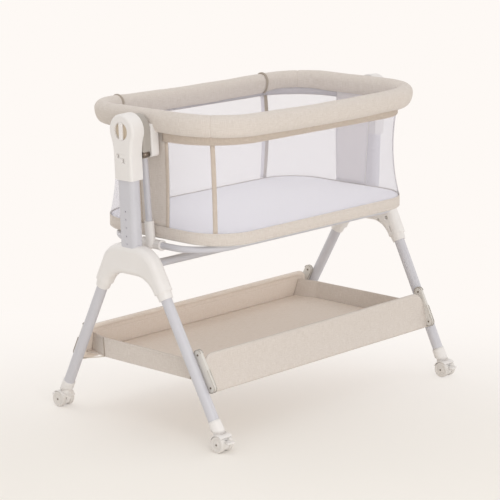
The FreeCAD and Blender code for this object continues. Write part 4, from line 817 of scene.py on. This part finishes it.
class CRIB_OT_walls(bpy.types.Operator):
    """Hangs the net and linen walls, their bindings and the zip band"""

    bl_idname = "crib.walls"
    bl_label = "Walls"

    def execute(self, context):
        wall = context.scene.crib_walls
        heights = steps(wall.band_top, wall.top - HIDDEN_TOP, 22)
        self.nets(wall, heights)
        self.end_panels(wall, heights)
        self.bindings(wall)
        self.zip_bands(wall)
        self.band(wall)
        return {"FINISHED"}

    def nets(self, wall, heights):
        """Net in front, at both sides of the drop side, and in the drop side itself."""
        open_at = wall.drop_half + wall.gap

        def front_start(z):
            return panel_edge(-1, -1, z)

        def front_end(z):
            return wall_outline(z).whole + panel_edge(1, -1, z)

        shape = wall_stretch(front_start, front_end, 150, heights, 0.0)
        front = add_piece("front_net", shape, "crib", "net", ["side_mesh"], NET_THICK)
        front_end(HALF_UP) - front_start(HALF_UP) + 0.02
        right = wall_stretch(lambda z: panel_edge(1, 1, z), lambda z: back_edge(1, open_at, z), 40, heights,
                             0.0)
        left = wall_stretch(lambda z: back_edge(-1, open_at, z), lambda z: panel_edge(-1, 1, z), 40, heights,
                            0.0)
        for name, shape in (("right_back_net", right), ("left_back_net", left)):
            piece = add_piece(name, shape, "crib", "net", ["side_mesh"], NET_THICK)
        drop_heights = steps(wall.band_top + wall.gap, wall.top - HIDDEN_TOP, 22)
        shape = wall_stretch(drop_right, drop_left, 60, drop_heights, 0.0)
        drop = add_piece("drop_net", shape, "drop_side", "net", ["drop_mesh"], NET_THICK)

    def end_panels(self, wall, heights):
        """Linen panels in the middle of both ends, lined with white tape."""
        for name, end in END_SIDES:
            shape = wall_stretch(lambda z: panel_edge(end, -end, z), lambda z: panel_edge(end, end, z), 24,
                                 heights, -0.1 * MM)
            panel = add_piece(name + "_end_panel", shape, "crib", "linen", ["end_panels"],
                              PANEL_THICK, "white_tape")

    def bindings(self, wall):
        """Sewn strips along the end panels, the front corners and the drop side, and the drop side's hems."""
        back_top = wall.zip_low + wall.zip_raised + 0.001
        front_heights = steps(wall.band_top, wall.zip_low + 0.001, 20)
        back_heights = steps(wall.band_top, back_top, 20)
        hem_heights = steps(wall.band_top + wall.gap, back_top, 20)
        open_at = wall.drop_half + wall.gap
        strips, dark_strips, hems = [], [], []
        for _name, end in END_SIDES:
            for side, heights in ((-1, front_heights), (1, back_heights)):
                strips.append(self.strip(lambda z: panel_edge(end, side, z),
                                         lambda z: panel_edge(end, side, z) - side * end * wall.strip,
                                         heights))
                if side < 0:
                    strips.append(self.strip(lambda z: corner_seam(end, z) - wall.strip / 2,
                                             lambda z: corner_seam(end, z) + wall.strip / 2, heights))
            dark_strips.append(self.strip(lambda z: back_edge(end, open_at, z),
                                          lambda z: back_edge(end, open_at + wall.strip, z), back_heights,
                                          depth=2.6 * MM))
            hems.append(self.strip(lambda z: back_edge(end, wall.drop_half, z),
                                   lambda z: back_edge(end, wall.drop_half - wall.strip, z), hem_heights))
        for name, shapes, body, finish, node, inner in (
                ("wall_binding_strips", strips, "crib", "strip", "wall_bindings", "white_tape"),
                ("drop_edge_strips", dark_strips, "crib", "piping", "wall_bindings", "piping"),
                ("drop_side_hems", hems, "drop_side", "white_tape", "drop_binding", "white_tape")):
            add_piece(name, joined(shapes), body, finish, [node], inner=inner)

    def strip(self, one, other, heights, depth=0.9 * MM):
        """A narrow sewn strip with rolled edges; its back is a second finish."""
        start, end = (one, other) if one(heights[0]) < other(heights[0]) else (other, one)
        wide = end(heights[0]) - start(heights[0])
        last = len(ROLLED) - 1

        def place(column, z):
            share = column / wide * last
            low = min(int(share), last - 1)
            proud = ROLLED[low] + (ROLLED[low + 1] - ROLLED[low]) * (share - low)
            return wall_place(start(z) + (end(z) - start(z)) * column / wide, z, proud * MM)

        shape = cloth(steps(0.0, wide, last), heights, place)
        for vertex in drawn_out(shape):
            vertex.co -= outwards(vertex.co) * depth
        bmesh.ops.recalc_face_normals(shape, faces=shape.faces)
        for face in shape.faces:
            if face.normal.dot(outwards(face.calc_center_median())) < -0.3:
                face.material_index = 1
        return shape

    def zip_bands(self, wall):
        """Linen flap that covers the zip under the rim: a lip, a groove above it, then plain cloth."""
        heights = [wall.zip_low + up * MM for up, _lift in ZIP_FLAP]
        open_at = wall.drop_half + wall.gap

        def clear(z):
            return wall_outline(z).at_y(BRACKET_CLEAR)

        def front_middle(z):
            return wall_outline(z).quarter * 3

        def left_middle(z):
            return wall_outline(z).quarter * 2

        spans = ((clear, lambda z: back_edge(1, open_at, z), True),
                 (front_middle, lambda z: wall_outline(z).whole - clear(z), False),
                 (lambda z: back_edge(-1, open_at, z), lambda z: left_middle(z) - clear(z), True),
                 (lambda z: left_middle(z) + clear(z), front_middle, False))
        run = sum(abs(finish(wall.zip_low) - start(wall.zip_low)) for start, finish, _back in spans)
        whole = joined([self.flap(start, finish, heights, back) for start, finish, back in spans])
        bmesh.ops.remove_doubles(whole, verts=whole.verts, dist=WELD)
        # Both flaps take the darker zip flap linen, painted shade for the rim's shadow.
        band = add_piece("zip_band_cloth", whole, "crib", "zip_flap", ["wall_bindings"], FLAP_THICK,
                         "white_tape")
        shape = self.flap(drop_right, drop_left, heights, True)
        drop = add_piece("drop_zip_band_cloth", shape, "drop_side", "zip_flap", ["drop_binding"],
                         FLAP_THICK, "white_tape")

    def flap(self, start, finish, heights, back):
        """One run of the flap; at the back it is shorter and ends just under the rim."""
        raised = bpy.context.scene.crib_walls.zip_raised if back else 0.0
        kept = [z + raised for z in heights if z + raised <= heights[-1] + WELD]

        def proud(z):
            up = (z - raised - heights[0]) / MM
            for (low, lift), (high, next_lift) in zip(ZIP_FLAP, ZIP_FLAP[1:]):
                if up <= high + 0.001:
                    return (lift + (next_lift - lift) * (up - low) / (high - low)) * MM
            return ZIP_FLAP[-1][1] * MM

        return wall_stretch(start, finish, 60, kept, proud)

    def band(self, wall):
        """Linen band round the bottom with a turned hem along both edges."""
        low, high = wall.band_low, wall.band_top
        lifts = {low + up / BAND_HEMS[-1][0] * (high - low): lift for up, lift in BAND_HEMS}
        shape = wall_stretch(lambda z: 0.0, lambda z: wall_outline(z).whole, 240, list(lifts),
                             lambda z: lifts[z] * MM)
        bmesh.ops.remove_doubles(shape, verts=shape.verts, dist=WELD)
        band = add_piece("bottom_band_cloth", shape, "crib", "linen", ["bottom_band"], BAND_THICK)


# --- mattress ----------------------------------------------------------------------------------
# From the underside's middle to the top's: mm in from the edge, and share of the mattress' height.
MATTRESS_PROFILE = ((60.0, 0.0), (6.0, 0.0), (2.0, 0.02), (0.4, 0.10), (0.0, 0.17), (1.4, 0.30), (1.8, 0.50),
                    (1.2, 0.68), (0.0, 0.78), (0.6, 0.85), (3.0, 0.90), (12.0, 0.945), (40.0, 0.985),
                    (80.0, 1.0), (116.0, 1.0))


class CRIB_OT_mattress(bpy.types.Operator):
    """Fills the mattress: crowned top, sides drawn in between piped edges"""

    bl_idname = "crib.mattress"
    bl_label = "Mattress"

    def execute(self, context):
        wall = context.scene.crib_walls
        low, high = node_box("mattress")
        inset = wall.half_length - high.x
        thick = high.z - low.z
        outline = Outline(wall.half_length, wall.half_width, wall.corner)

        def place(column, row):
            inward, up = MATTRESS_PROFILE[row]
            inward = inward * MM + inset
            shrunk = Outline(outline.half_x - inward, outline.half_y - inward,
                             max(outline.corner - inward, 0.001))
            spot, _out = shrunk.place(column / outline.whole * shrunk.whole)
            z = low.z + thick * up
            if up > 0.94:
                z += rumple((spot.x, spot.y, 0), 0.10, 0.8 * MM) - 0.6 * MM
            return Vector((spot.x, spot.y, z))

        def choose(face, old, spot):
            return (spot.x, spot.y) if abs(face.normal.z) > 0.5 else (old.x, spot.z)

        shape = cloth(steps(0.0, outline.whole, 220), range(len(MATTRESS_PROFILE)), place, weld=True)
        cap_ends(shape)
        lay_uvs(shape, choose)
        mattress = add_piece("mattress_cushion", shape, "crib", "mattress", ["mattress"])
        return {"FINISHED"}


# --- basket ------------------------------------------------------------------------------------
CORNERS = [(name, end, face, side) for name, end in END_SIDES for face, side in LONG_SIDES]
TUBE = 0.005                        # radius of the side walls' frame tube
TOP_BEND, LOW_BEND = 0.036, 0.014   # radii of its upper and lower corners
TUBE_FADE = 0.0075                  # how far beyond the sleeve the tube shows inside
OUTER_FADE = 0.045                  # how far the outer cloth takes to fall back from the tube
OUTER_LAYER = 1.3 * MM
LINEN_LAYERS, SLEEVE_LAYERS = 1.25 * MM, 1.9 * MM       # half the thickness of the wall and of its sleeve
# mm from the lower edge, from the upper one and from the ends, where the side walls get vertices
NEAR_EDGE = (0.0, 0.15, 0.6, 1.4, 2.6, 4.2, 6.6, 9.0, 11.0, 12.6, 14.5)
NEAR_SLEEVE = (18.0, 22.0, 25.5, 26.8, 27.6, 28.4, 29.4, 32.0)
NEAR_END = (0.0, 0.3, 1.0, 2.0, 4.0, 6.6, 9.0, 12.0, 16.0, 22.0, 30.0, 40.0)


def to_side(x, across, up, side):
    """From a side wall's own plane into place: up runs along the leaning wall, across is outwards."""
    basket = bpy.context.scene.crib_basket
    run = basket.top_y - basket.low_y
    rise = basket.top_z - basket.low_z
    length = math.hypot(run, rise)
    along_y, along_z = run / length, rise / length
    y = basket.low_y + along_y * up + along_z * across
    z = basket.low_z + along_z * up - along_y * across
    return Vector((x, side * y, z))


def side_wall_y(z):
    """How far a side wall stands off the middle at height z."""
    basket = bpy.context.scene.crib_basket
    slope = (basket.low_y - basket.top_y) / (basket.top_z - basket.low_z)
    return basket.low_y - slope * (z - basket.low_z)


class CRIB_OT_basket(bpy.types.Operator):
    """Sews the basket: two sleeved side walls, a sagging floor, two end walls and their cords"""

    bl_idname = "crib.basket"
    bl_label = "Basket"

    def execute(self, context):
        basket = context.scene.crib_basket
        half = node_box("basket_cloth")[1].x
        for name, side in LONG_SIDES:
            shape = self.side_wall(basket, side, half)
            # The inside face takes the lighter linen copy, painted light for the dim basket.
            add_piece("basket_" + name + "_wall", shape, "frame", "linen", ["basket_cloth"],
                      inner="lining")
        self.floor(basket)
        self.ends(basket)
        self.seams(basket)
        self.cords(basket)
        return {"FINISHED"}

    def side_wall(self, basket, side, half):
        """Two faces of cloth that meet round the frame tube; thin between, with a sleeve along the top."""
        hem = basket.hem
        top_corner, low_corner = TOP_BEND - TUBE + hem, LOW_BEND - TUBE + hem
        edge = hem - TUBE
        whole = math.hypot(basket.top_y - basket.low_y, basket.top_z - basket.low_z) + 2 * edge
        rows = sorted([d * MM for d in NEAR_EDGE] + [whole - d * MM for d in NEAR_EDGE + NEAR_SLEEVE]
                      + steps(0.020, whole - 0.038, 4))
        columns = sorted([-half + d * MM for d in NEAR_END] + steps(-half + 0.05, half - 0.05, 60)
                         + [half - d * MM for d in NEAR_END])

        def bounds_at(x):
            bottom, top = [quarter_round(radius, max(0.0, min(1.0, (abs(x) - (half - radius)) / radius)))
                           for radius in (low_corner, top_corner)]
            return bottom, whole - top

        def edge_distance(x, up):
            off = half - abs(x)
            best = min(off, up, whole - up)
            for radius, from_edge in ((top_corner, whole - up), (low_corner, up)):
                if off < radius and from_edge < radius:
                    best = min(best, radius - math.hypot(radius - off, radius - from_edge))
            return max(best, 0.0)

        def thickness(x, up, inside):
            """Round at the edge; beyond it the inside shows the tube, and the outside falls back slowly."""
            d = edge_distance(x, up)
            if d < hem:
                return math.sqrt(max(0.0, hem ** 2 - (hem - d) ** 2))
            if inside:
                fall = max(0.0, 1 - ((d - hem) / TUBE_FADE) ** 2)
                layers = SLEEVE_LAYERS if whole - up < basket.sleeve else LINEN_LAYERS
                layers -= 0.7 * MM * bump(whole - up - basket.sleeve, 0.9 * MM)
                return max(hem * math.sqrt(fall), layers)
            fall = min(1.0, (d - hem) / OUTER_FADE)
            return OUTER_LAYER + (hem - OUTER_LAYER) * (1 - fall * fall * (3 - 2 * fall))

        def face(direction):
            def place(x, row):
                bottom, top = bounds_at(x)
                up = bottom + (top - bottom) * row / whole
                sway = rumple((x, up, side), 0.16, 1.6 * MM) * min(1.0, edge_distance(x, up) / 0.03)
                return to_side(x, direction * thickness(x, up, direction < 0) + sway, up - edge, side)
            return cloth(columns, rows, place)

        inside = face(-1)
        for part in inside.faces:
            part.material_index = 1
        shape = joined([face(1), inside])
        bmesh.ops.remove_doubles(shape, verts=shape.verts, dist=0.0004)
        bmesh.ops.recalc_face_normals(shape, faces=shape.faces)
        return shape

    def floor(self, basket):
        """Floor that sags between its four edges."""
        half_x, half_y = basket.end_x - 1.0 * MM, side_wall_y(basket.floor_z) - 2.0 * MM

        def place(x, y):
            round_x, round_y = 1 - (x / half_x) ** 2, 1 - (y / half_y) ** 2
            drop = basket.sag * (1 - (1 - round_x) ** 3) * (1 - (1 - round_y) ** 2)
            ripple = rumple((x, y, 0), 0.11, 1.4 * MM) * min(1.0, 6 * round_x) * min(1.0, 6 * round_y)
            return Vector((x, y, basket.floor_z - drop + ripple - 0.3 * MM))

        shape = cloth(steps(-half_x, half_x, 110), steps(-half_y, half_y, 60), place)
        # The floor takes the lighter linen copy, painted light for the dim basket.
        piece = add_piece("basket_floor_cloth", shape, "frame", "lining", ["basket_cloth"],
                          PANEL_THICK)

    def ends(self, basket):
        """End walls with a hemmed upper edge, folded back at a seam near each corner."""
        low, high = basket.floor_z - 2.5 * MM, basket.end_top
        heights = ([low] + steps(low + 2 * MM, high - 9 * MM, 12)
                   + [high - d * MM for d in (8.0, 7.2, 6.4, 4.0, 1.0, 0.0)])

        def half_at(z):
            return side_wall_y(z) - 1.2 * MM

        for name, end in END_SIDES:
            def place(share, z):
                y = share * half_at(z)
                groove = 0.8 * MM * bump(z - (high - 7.2 * MM), 0.6 * MM)
                seam = basket.seam_y + (basket.seam_top - basket.seam_y) * (z - low) / (high - low)
                crease = 0.28 * max(0.0, abs(y) - seam)
                free = math.sin(math.pi * min(1.0, (z - low) / 0.03) / 2)
                sway = rumple((end, y, z), 0.07, 1.6 * MM) * free
                return Vector((end * (basket.end_x - groove - crease + sway * 0.5 - 0.4 * MM), y, z))

            shape = cloth(steps(-1.0, 1.0, 120), heights, place)
            lay_uvs(shape, lambda _face, _old, spot: (spot.y, spot.z))
            piece = add_piece("basket_" + name + "_wall", shape, "frame", "linen", ["basket_cloth"],
                              end * PANEL_THICK)
            2 * half_at(low)

    def seams(self, basket):
        """Bound corner seams, where each end wall folds back to the side walls."""
        x = basket.end_x + 0.6 * MM
        tubes = [rod(Vector((end * x, side * basket.seam_y, basket.floor_z - 2 * MM)),
                     Vector((end * x, side * basket.seam_top, basket.end_top)), 1.3 * MM, 8)
                 for _name, end, _face, side in CORNERS]
        add_piece("basket_corner_seams", joined(tubes), "frame", "piping", ["basket_cloth"])

    def cords(self, basket):
        """Cords that tie the end walls' corners to the side frames."""
        low, high = node_box("basket_cords")
        start = Vector((basket.end_x - 1.2 * MM, basket.seam_y + 3 * MM, basket.floor_z - 2.6 * MM))
        end = Vector((high.x - 2 * MM, high.y - 2.0 * MM, low.z + 1.6 * MM))
        points = [start, start.lerp(end, 0.5) - Vector((0, 0, 0.4 * MM)), end]
        for name, side, face, depth in CORNERS:
            curve = bpy.data.curves.new("basket_" + name + "_" + face + "_cord", "CURVE")
            curve.dimensions = "3D"
            spline = curve.splines.new("NURBS")
            spline.points.add(2)
            for spot, point in zip(points, spline.points):
                point.co = (side * spot.x, depth * spot.y, spot.z, 1.0)
            spline.order_u = 3
            spline.use_endpoint_u = True
            curve.bevel_depth = 1.5 * MM
            curve.bevel_resolution = 3
            curve.use_fill_caps = True
            curve.materials.append(FINISHES["cord"])
            cord = bpy.data.objects.new(curve.name, curve)
            bpy.context.scene.collection.objects.link(cord)
            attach(cord, "frame")
            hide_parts("basket_cords")


# --- hardware ------------------------------------------------------------------------------------
PLATE_HALF_WIDTH, PLATE_THICK = 13.0 * MM, 9 * MM
PLATE_REACH = 46 * MM               # from a plate's middle to the centre of each round end
PLATE_RIM_OFF, PLATE_RIM_RADIUS = 13.6 * MM, 1.1 * MM
SOCKET_RADIUS = 8.0 * MM
SOCKET_IN, SOCKET_UP = 4.5 * MM, 12 * MM                # from the pivot block's side, and from its lower edge
BLOCK_SQUARE = 0.22                 # 1 would leave the block's lower half round, 0 would make it square


def in_end_frame(x, y, z, end):
    """A point drawn in the upright right-hand end frame, leaned and mirrored into place."""
    hard = bpy.context.scene.crib_hardware
    cos_lean, sin_lean = math.cos(hard.lean), math.sin(hard.lean)
    return Vector((end * (hard.foot_x + x * cos_lean + z * sin_lean), y, z * cos_lean - x * sin_lean))


def leg_place(z, side):
    """Where a leg's axis is at height z, in the end frame's own plane."""
    hard = bpy.context.scene.crib_hardware
    return Vector((0.0, side * (hard.leg_exit_y + (hard.leg_exit_z - z) * math.tan(hard.splay)), z))


def lean_shape(shape, end):
    """Moves a shape drawn in the right-hand end frame into place."""
    for vertex in shape.verts:
        vertex.co = in_end_frame(*vertex.co, end)
    bmesh.ops.recalc_face_normals(shape, faces=shape.faces)
    return shape


class CRIB_OT_hardware(bpy.types.Operator):
    """Shapes the pivot blocks, end brackets, foot sockets, basket plates' rims and axle rivets"""

    bl_idname = "crib.hardware"
    bl_label = "Hardware"

    def execute(self, context):
        hard = context.scene.crib_hardware
        for name, draw, finish, node in (("pivot_blocks", self.barrel, "grey_plastic", "pivot_barrels"),
                                         ("rim_end_brackets", self.bracket, "white_plastic", "end_brackets")):
            shapes = [lean_shape(draw(hard), end) for _name, end in END_SIDES]
            add_piece(name, joined(shapes), "crib", finish, [node])
        # Painted shade: a dark steel disc at each lock hole stands for the shade inside the hole.
        z = hard.head_z - hard.barrel_below + SOCKET_UP
        sockets = []
        for _name, end, _face, side in CORNERS:
            y = side * (hard.barrel_half - SOCKET_IN)
            sockets.append(rod(in_end_frame(hard.barrel_out - 20 * MM, y, z, end),
                               in_end_frame(hard.barrel_out + 0.2 * MM, y, z, end), SOCKET_RADIUS, 40))
        add_piece("lock_sockets", joined(sockets), "crib", "dark_steel", ["pivot_barrels"])
        self.foot_sockets(hard)
        self.basket_plates(hard)
        self.axle_rivets()
        return {"FINISHED"}

    def barrel(self, hard):
        """Dome-topped block, and the pivot that turns in the head."""
        shape = new_shape()
        bmesh.ops.create_circle(shape, cap_ends=True, segments=96, radius=1.0)
        for vertex in shape.verts:
            across, up = vertex.co.x, vertex.co.y
            if up < 0:
                across = math.copysign(abs(across) ** BLOCK_SQUARE, across)
                up = -abs(up) ** BLOCK_SQUARE * hard.barrel_below / hard.barrel_half
            vertex.co = (hard.barrel_out, across * hard.barrel_half, hard.head_z + up * hard.barrel_half)
        bmesh.ops.translate(shape, verts=drawn_out(shape), vec=(-hard.barrel_depth, 0, 0))
        soften(shape, level_edges(shape, 0), 2.0 * MM)
        pivot = rod(Vector((hard.barrel_out - 2 * MM, 0, hard.head_z)),
                    Vector((hard.barrel_out + 22 * MM, 0, hard.head_z)), 9 * MM, 32)
        return joined([shape, pivot])

    def bracket(self, hard):
        """Rounded block that clasps the rim and the post."""
        shape = new_shape()
        out = hard.barrel_out - hard.barrel_depth
        depth = hard.bracket_depth
        middle = Vector((out - depth / 2, 0, (hard.bracket_low + hard.bracket_top) / 2))
        size = Vector((depth, 2 * hard.bracket_half, hard.bracket_top - hard.bracket_low))
        placed = Matrix.Translation(middle) @ Matrix.Diagonal((*size, 1.0))
        bmesh.ops.create_cube(shape, size=1.0, matrix=placed)
        corners = [edge for edge in shape.edges if edge.verts[0].co.z < middle.z
                   and abs(edge.verts[0].co.x - edge.verts[1].co.x) > depth / 2]
        soften(shape, corners, 10 * MM, 8)
        soften(shape, level_edges(shape, 0), 2.2 * MM)
        return shape

    def foot_sockets(self, hard):
        """The caps' lower part, cut off square to each leg where the tube comes out."""
        sockets = []
        for _name, end, _face, side in CORNERS:
            shape = bmesh.new()
            shape.from_mesh(frame["nodes"]["foot_caps"].data)
            bmesh.ops.remove_doubles(shape, verts=shape.verts, dist=WELD)
            other = [v for v in shape.verts if v.co.x * end < 0 or v.co.y * side < 0]
            bmesh.ops.delete(shape, geom=other, context="VERTS")
            axis = in_end_frame(*leg_place(0.0, side), end) - in_end_frame(*leg_place(0.1, side), end)
            cut = in_end_frame(*leg_place(hard.socket_top, side), end)
            geometry = list(shape.verts) + list(shape.edges) + list(shape.faces)
            bmesh.ops.bisect_plane(shape, geom=geometry, plane_co=cut, plane_no=axis, clear_inner=True)
            cap_ends(shape)
            sockets.append(shape)
        add_piece("foot_sockets", joined(sockets), "frame", "white_plastic", ["foot_caps"])

    def basket_plates(self, hard):
        """Plates that carry the basket, with pressed steel rims and rivets on both faces."""
        plates, rims, rivets = [], [], []
        for _name, end, _face, side in CORNERS:
            along = Vector((0, side * math.sin(hard.splay), -math.cos(hard.splay)))
            across = Vector((0, side * math.cos(hard.splay), math.sin(hard.splay)))
            centre = leg_place(hard.plate_z, side) + across * hard.plate_off
            plates.append(self.plate(hard, centre, along, across, end))
            for x, out in ((hard.plate_outer, 1), (hard.plate_outer - PLATE_THICK, -1)):
                rims.append(self.plate_rim(centre, along, across, x, end))
                for share in (-1, 1):
                    spot = centre + along * share * PLATE_REACH
                    rivets.append(rod(in_end_frame(x - out * MM, spot.y, spot.z, end),
                                      in_end_frame(x + out * 1.4 * MM, spot.y, spot.z, end), 3.4 * MM, 20,
                                      2.4 * MM))
        for name, shapes, slot, finish in (("basket_plates", plates, "white_plastic", "plate"),
                                           ("basket_plate_rims", rims, "steel", "steel"),
                                           ("basket_plate_rivets", rivets, "steel", "dark_steel")):
            add_piece(name, joined(shapes), "frame", finish, ["basket_brackets"])

    def plate(self, hard, centre, along, across, end):
        """Moulded plate with half-round ends and softened edges."""
        shape = new_shape()
        bmesh.ops.create_circle(shape, cap_ends=True, segments=64, radius=PLATE_HALF_WIDTH)
        for vertex in shape.verts:
            vertex.co.y += math.copysign(PLATE_REACH, vertex.co.y) if abs(vertex.co.y) > WELD else 0.0
        bmesh.ops.translate(shape, verts=drawn_out(shape), vec=(0, 0, PLATE_THICK))
        soften(shape, level_edges(shape, 2), 1.2 * MM)
        for vertex in shape.verts:
            spot = centre + across * vertex.co.x + along * vertex.co.y
            vertex.co = in_end_frame(hard.plate_outer - vertex.co.z, spot.y, spot.z, end)
        bmesh.ops.recalc_face_normals(shape, faces=shape.faces)
        return shape

    def plate_rim(self, centre, along, across, x, end):
        """Round steel bead that runs round a plate's edge."""
        def place(angle, turn):
            reach = PLATE_RIM_OFF + PLATE_RIM_RADIUS * math.cos(turn)
            up = math.sin(angle)
            straight = PLATE_REACH * (1 if up > 0 else -1 if up < 0 else 0)
            spot = centre + across * reach * math.cos(angle) + along * (reach * up + straight)
            return in_end_frame(x + PLATE_RIM_RADIUS * math.sin(turn), spot.y, spot.z, end)

        return cloth(steps(0.0, FULL_TURN, 56), steps(0.0, FULL_TURN, 8), place, weld=True)

    def axle_rivets(self):
        """Riveted axle ends in the middle of the wheels' outer faces."""
        for name, _end, face, _side in CORNERS:
            caster = name + "_" + face
            wheels = caster + "_caster_wheels"
            low, high = node_box(wheels)
            middle = (low + high) / 2
            ends = [rod(Vector((x - out * 2.0 * MM, middle.y, middle.z)),
                        Vector((x + out * 0.5 * MM, middle.y, middle.z)), 3.6 * MM, 20, 2.6 * MM)
                    for x, out in ((low.x, -1), (high.x, 1))]
            add_piece(caster + "_axle_rivets", joined(ends), body_of(frame["nodes"][wheels])[0],
                      "dark_steel")


# --- the frame's own finishes --------------------------------------------------------------------
class CRIB_OT_finishes(bpy.types.Operator):
    """Gives every plastic, tube and steel part of the frame its finish"""

    bl_idname = "crib.finishes"
    bl_label = "Plastic, tube and steel"

    def execute(self, context):
        slots = {part["node"]: part["material_slot"] for part in frame["record"]["subparts"]}
        for name, part in frame["nodes"].items():
            wanted = FINISHES.get(slots[name])
            if wanted is None:
                continue
            if name.endswith("height_grip"):
                wanted = FINISHES["grip"]
            for place in part.material_slots:
                place.material = wanted
            if not part.material_slots:
                part.data.materials.append(wanted)
        return {"FINISHED"}


# --- stage -------------------------------------------------------------------------------------
# Soft boxes: share of the key's power, edge length and place, in metres.
LAMPS = (("key_softbox", 1.0, 1.8, (-2.0, -3.3, 1.25)), ("top_softbox", 0.6, 2.6, (-0.8, 0.6, 4.2)),
         ("right_softbox", 0.4, 2.4, (3.2, -2.0, 1.8)), ("back_softbox", 0.4, 2.4, (0.6, 3.4, 1.8)))
LAMP_AIM = Vector((0, 0, 0.5))
FLOOR_AWAY = (0.73, 0.68, 0.0)      # level direction away from the photo's camera
# Metres over which the floor turns into the backdrop: away from the camera, and out from the middle.
FLOOR_FADE, FLOOR_REACH = (-0.9, 0.9), (1.3, 3.2)


class CRIB_OT_stage(bpy.types.Operator):
    """Sets the camera, the pale floor and the soft studio light"""

    bl_idname = "crib.stage"
    bl_label = "Stage"

    def execute(self, context):
        stage = context.scene.crib_stage
        scene = context.scene
        lens = bpy.data.cameras.new("photo_camera")
        lens.lens = stage.lens
        lens.sensor_width = 36.0
        lens.clip_end = 100.0
        camera = bpy.data.objects.new("photo_camera", lens)
        turn = (Matrix.Rotation(stage.azimuth, 4, "Z") @ Matrix.Rotation(math.pi / 2 - stage.pitch, 4, "X")
                @ Matrix.Rotation(stage.roll, 4, "Z"))
        camera.matrix_world = Matrix.Translation(stage.place) @ turn
        scene.collection.objects.link(camera)
        scene.camera = camera
        self.floor(scene)
        self.world(scene, stage)
        for name, share, size, place in LAMPS:
            self.lamp(scene, name, stage.key * share, size, place)
        scene.view_settings.view_transform = "Standard"
        return {"FINISHED"}

    def floor(self, scene):
        """Seamless paper: shows the backdrop's own colour to the camera and still takes the soft shadow."""
        sheet = bmesh.new()
        bmesh.ops.create_circle(sheet, cap_ends=True, segments=96, radius=30.0)
        mesh = bpy.data.meshes.new("paper_floor")
        sheet.to_mesh(mesh)
        sheet.free()
        floor = bpy.data.objects.new("paper_floor", mesh)
        scene.collection.objects.link(floor)
        finish, tree, shader = new_finish("seamless_paper", {"Roughness": 0.95, "Specular IOR Level": 0.1,
                                                             "Base Color": linear("#f5f1eb")})
        place = solid_place(tree)
        away = add_node(tree, "VectorMath", {0: place, 1: FLOOR_AWAY}, operation="DOT_PRODUCT")
        reach = add_node(tree, "VectorMath", {0: place}, operation="LENGTH")
        fades = [ranged(tree, node.outputs["Value"], span, interpolation_type="SMOOTHSTEP")
                 for node, span in ((away, FLOOR_FADE), (reach, FLOOR_REACH))]
        share = combined(tree, "MULTIPLY", seen_straight(tree), combined(tree, "MAXIMUM", *fades))
        glow = add_node(tree, "Emission", {"Color": linear(BACKDROP), "Strength": 1.0})
        blend_surface(tree, share, shader, glow)
        mesh.materials.append(finish)

    def world(self, scene, stage):
        """Soft light from all round; what is seen straight is the backdrop's own colour."""
        world = bpy.data.worlds.new("studio")
        scene.world = world
        world.use_nodes = True
        tree = world.node_tree
        tree.nodes.clear()
        soft = add_node(tree, "Background", {"Color": linear("#fffdfb"), "Strength": stage.sky})
        shown = add_node(tree, "Background", {"Color": linear(BACKDROP), "Strength": 1.0})
        add_node(tree, "OutputWorld")
        blend_surface(tree, seen_straight(tree), soft, shown)

    def lamp(self, scene, name, power, size, place):
        """A square soft box that points at the crib."""
        data = bpy.data.lights.new(name, "AREA")
        data.energy = power
        data.size = size
        lamp = bpy.data.objects.new(name, data)
        aim = LAMP_AIM - Vector(place)
        lamp.matrix_world = Matrix.Translation(place) @ aim.to_track_quat("-Z", "Y").to_matrix().to_4x4()
        scene.collection.objects.link(lamp)


# --- panel and registration ----------------------------------------------------------------------
OPERATORS = (CRIB_OT_stage, CRIB_OT_rim, CRIB_OT_walls, CRIB_OT_mattress, CRIB_OT_basket, CRIB_OT_hardware,
             CRIB_OT_finishes)


class CRIB_PT_panel(bpy.types.Panel):
    """Lists the crib's pieces and their sizes"""

    bl_idname = "CRIB_PT_panel"
    bl_label = "Bedside crib"
    bl_space_type = "VIEW_3D"
    bl_region_type = "UI"
    bl_category = "Crib"

    def draw(self, context):
        for operator in OPERATORS:
            self.layout.operator(operator.bl_idname)
        for group, kind in SETTINGS:
            box = self.layout.box()
            box.label(text=kind.__doc__)
            for key in kind.__annotations__:
                box.prop(getattr(context.scene, group), key)


CLASSES = tuple(kind for _name, kind in SETTINGS) + OPERATORS + (CRIB_PT_panel,)


def register():
    for kind in CLASSES:
        bpy.utils.register_class(kind)
    for name, kind in SETTINGS:
        setattr(bpy.types.Scene, name, PointerProperty(type=kind))


def unregister():
    for name, _kind in SETTINGS:
        delattr(bpy.types.Scene, name)
    for kind in reversed(CLASSES):
        bpy.utils.unregister_class(kind)


def main():
    """Builds the crib's cloth and finishes."""
    register()
    make_finishes()
    bpy.ops.crib.stage()
    bpy.ops.crib.rim()
    bpy.ops.crib.walls()
    bpy.ops.crib.mattress()
    bpy.ops.crib.basket()
    bpy.ops.crib.hardware()
    bpy.ops.crib.finishes()


if __name__ == "__main__":
    main()
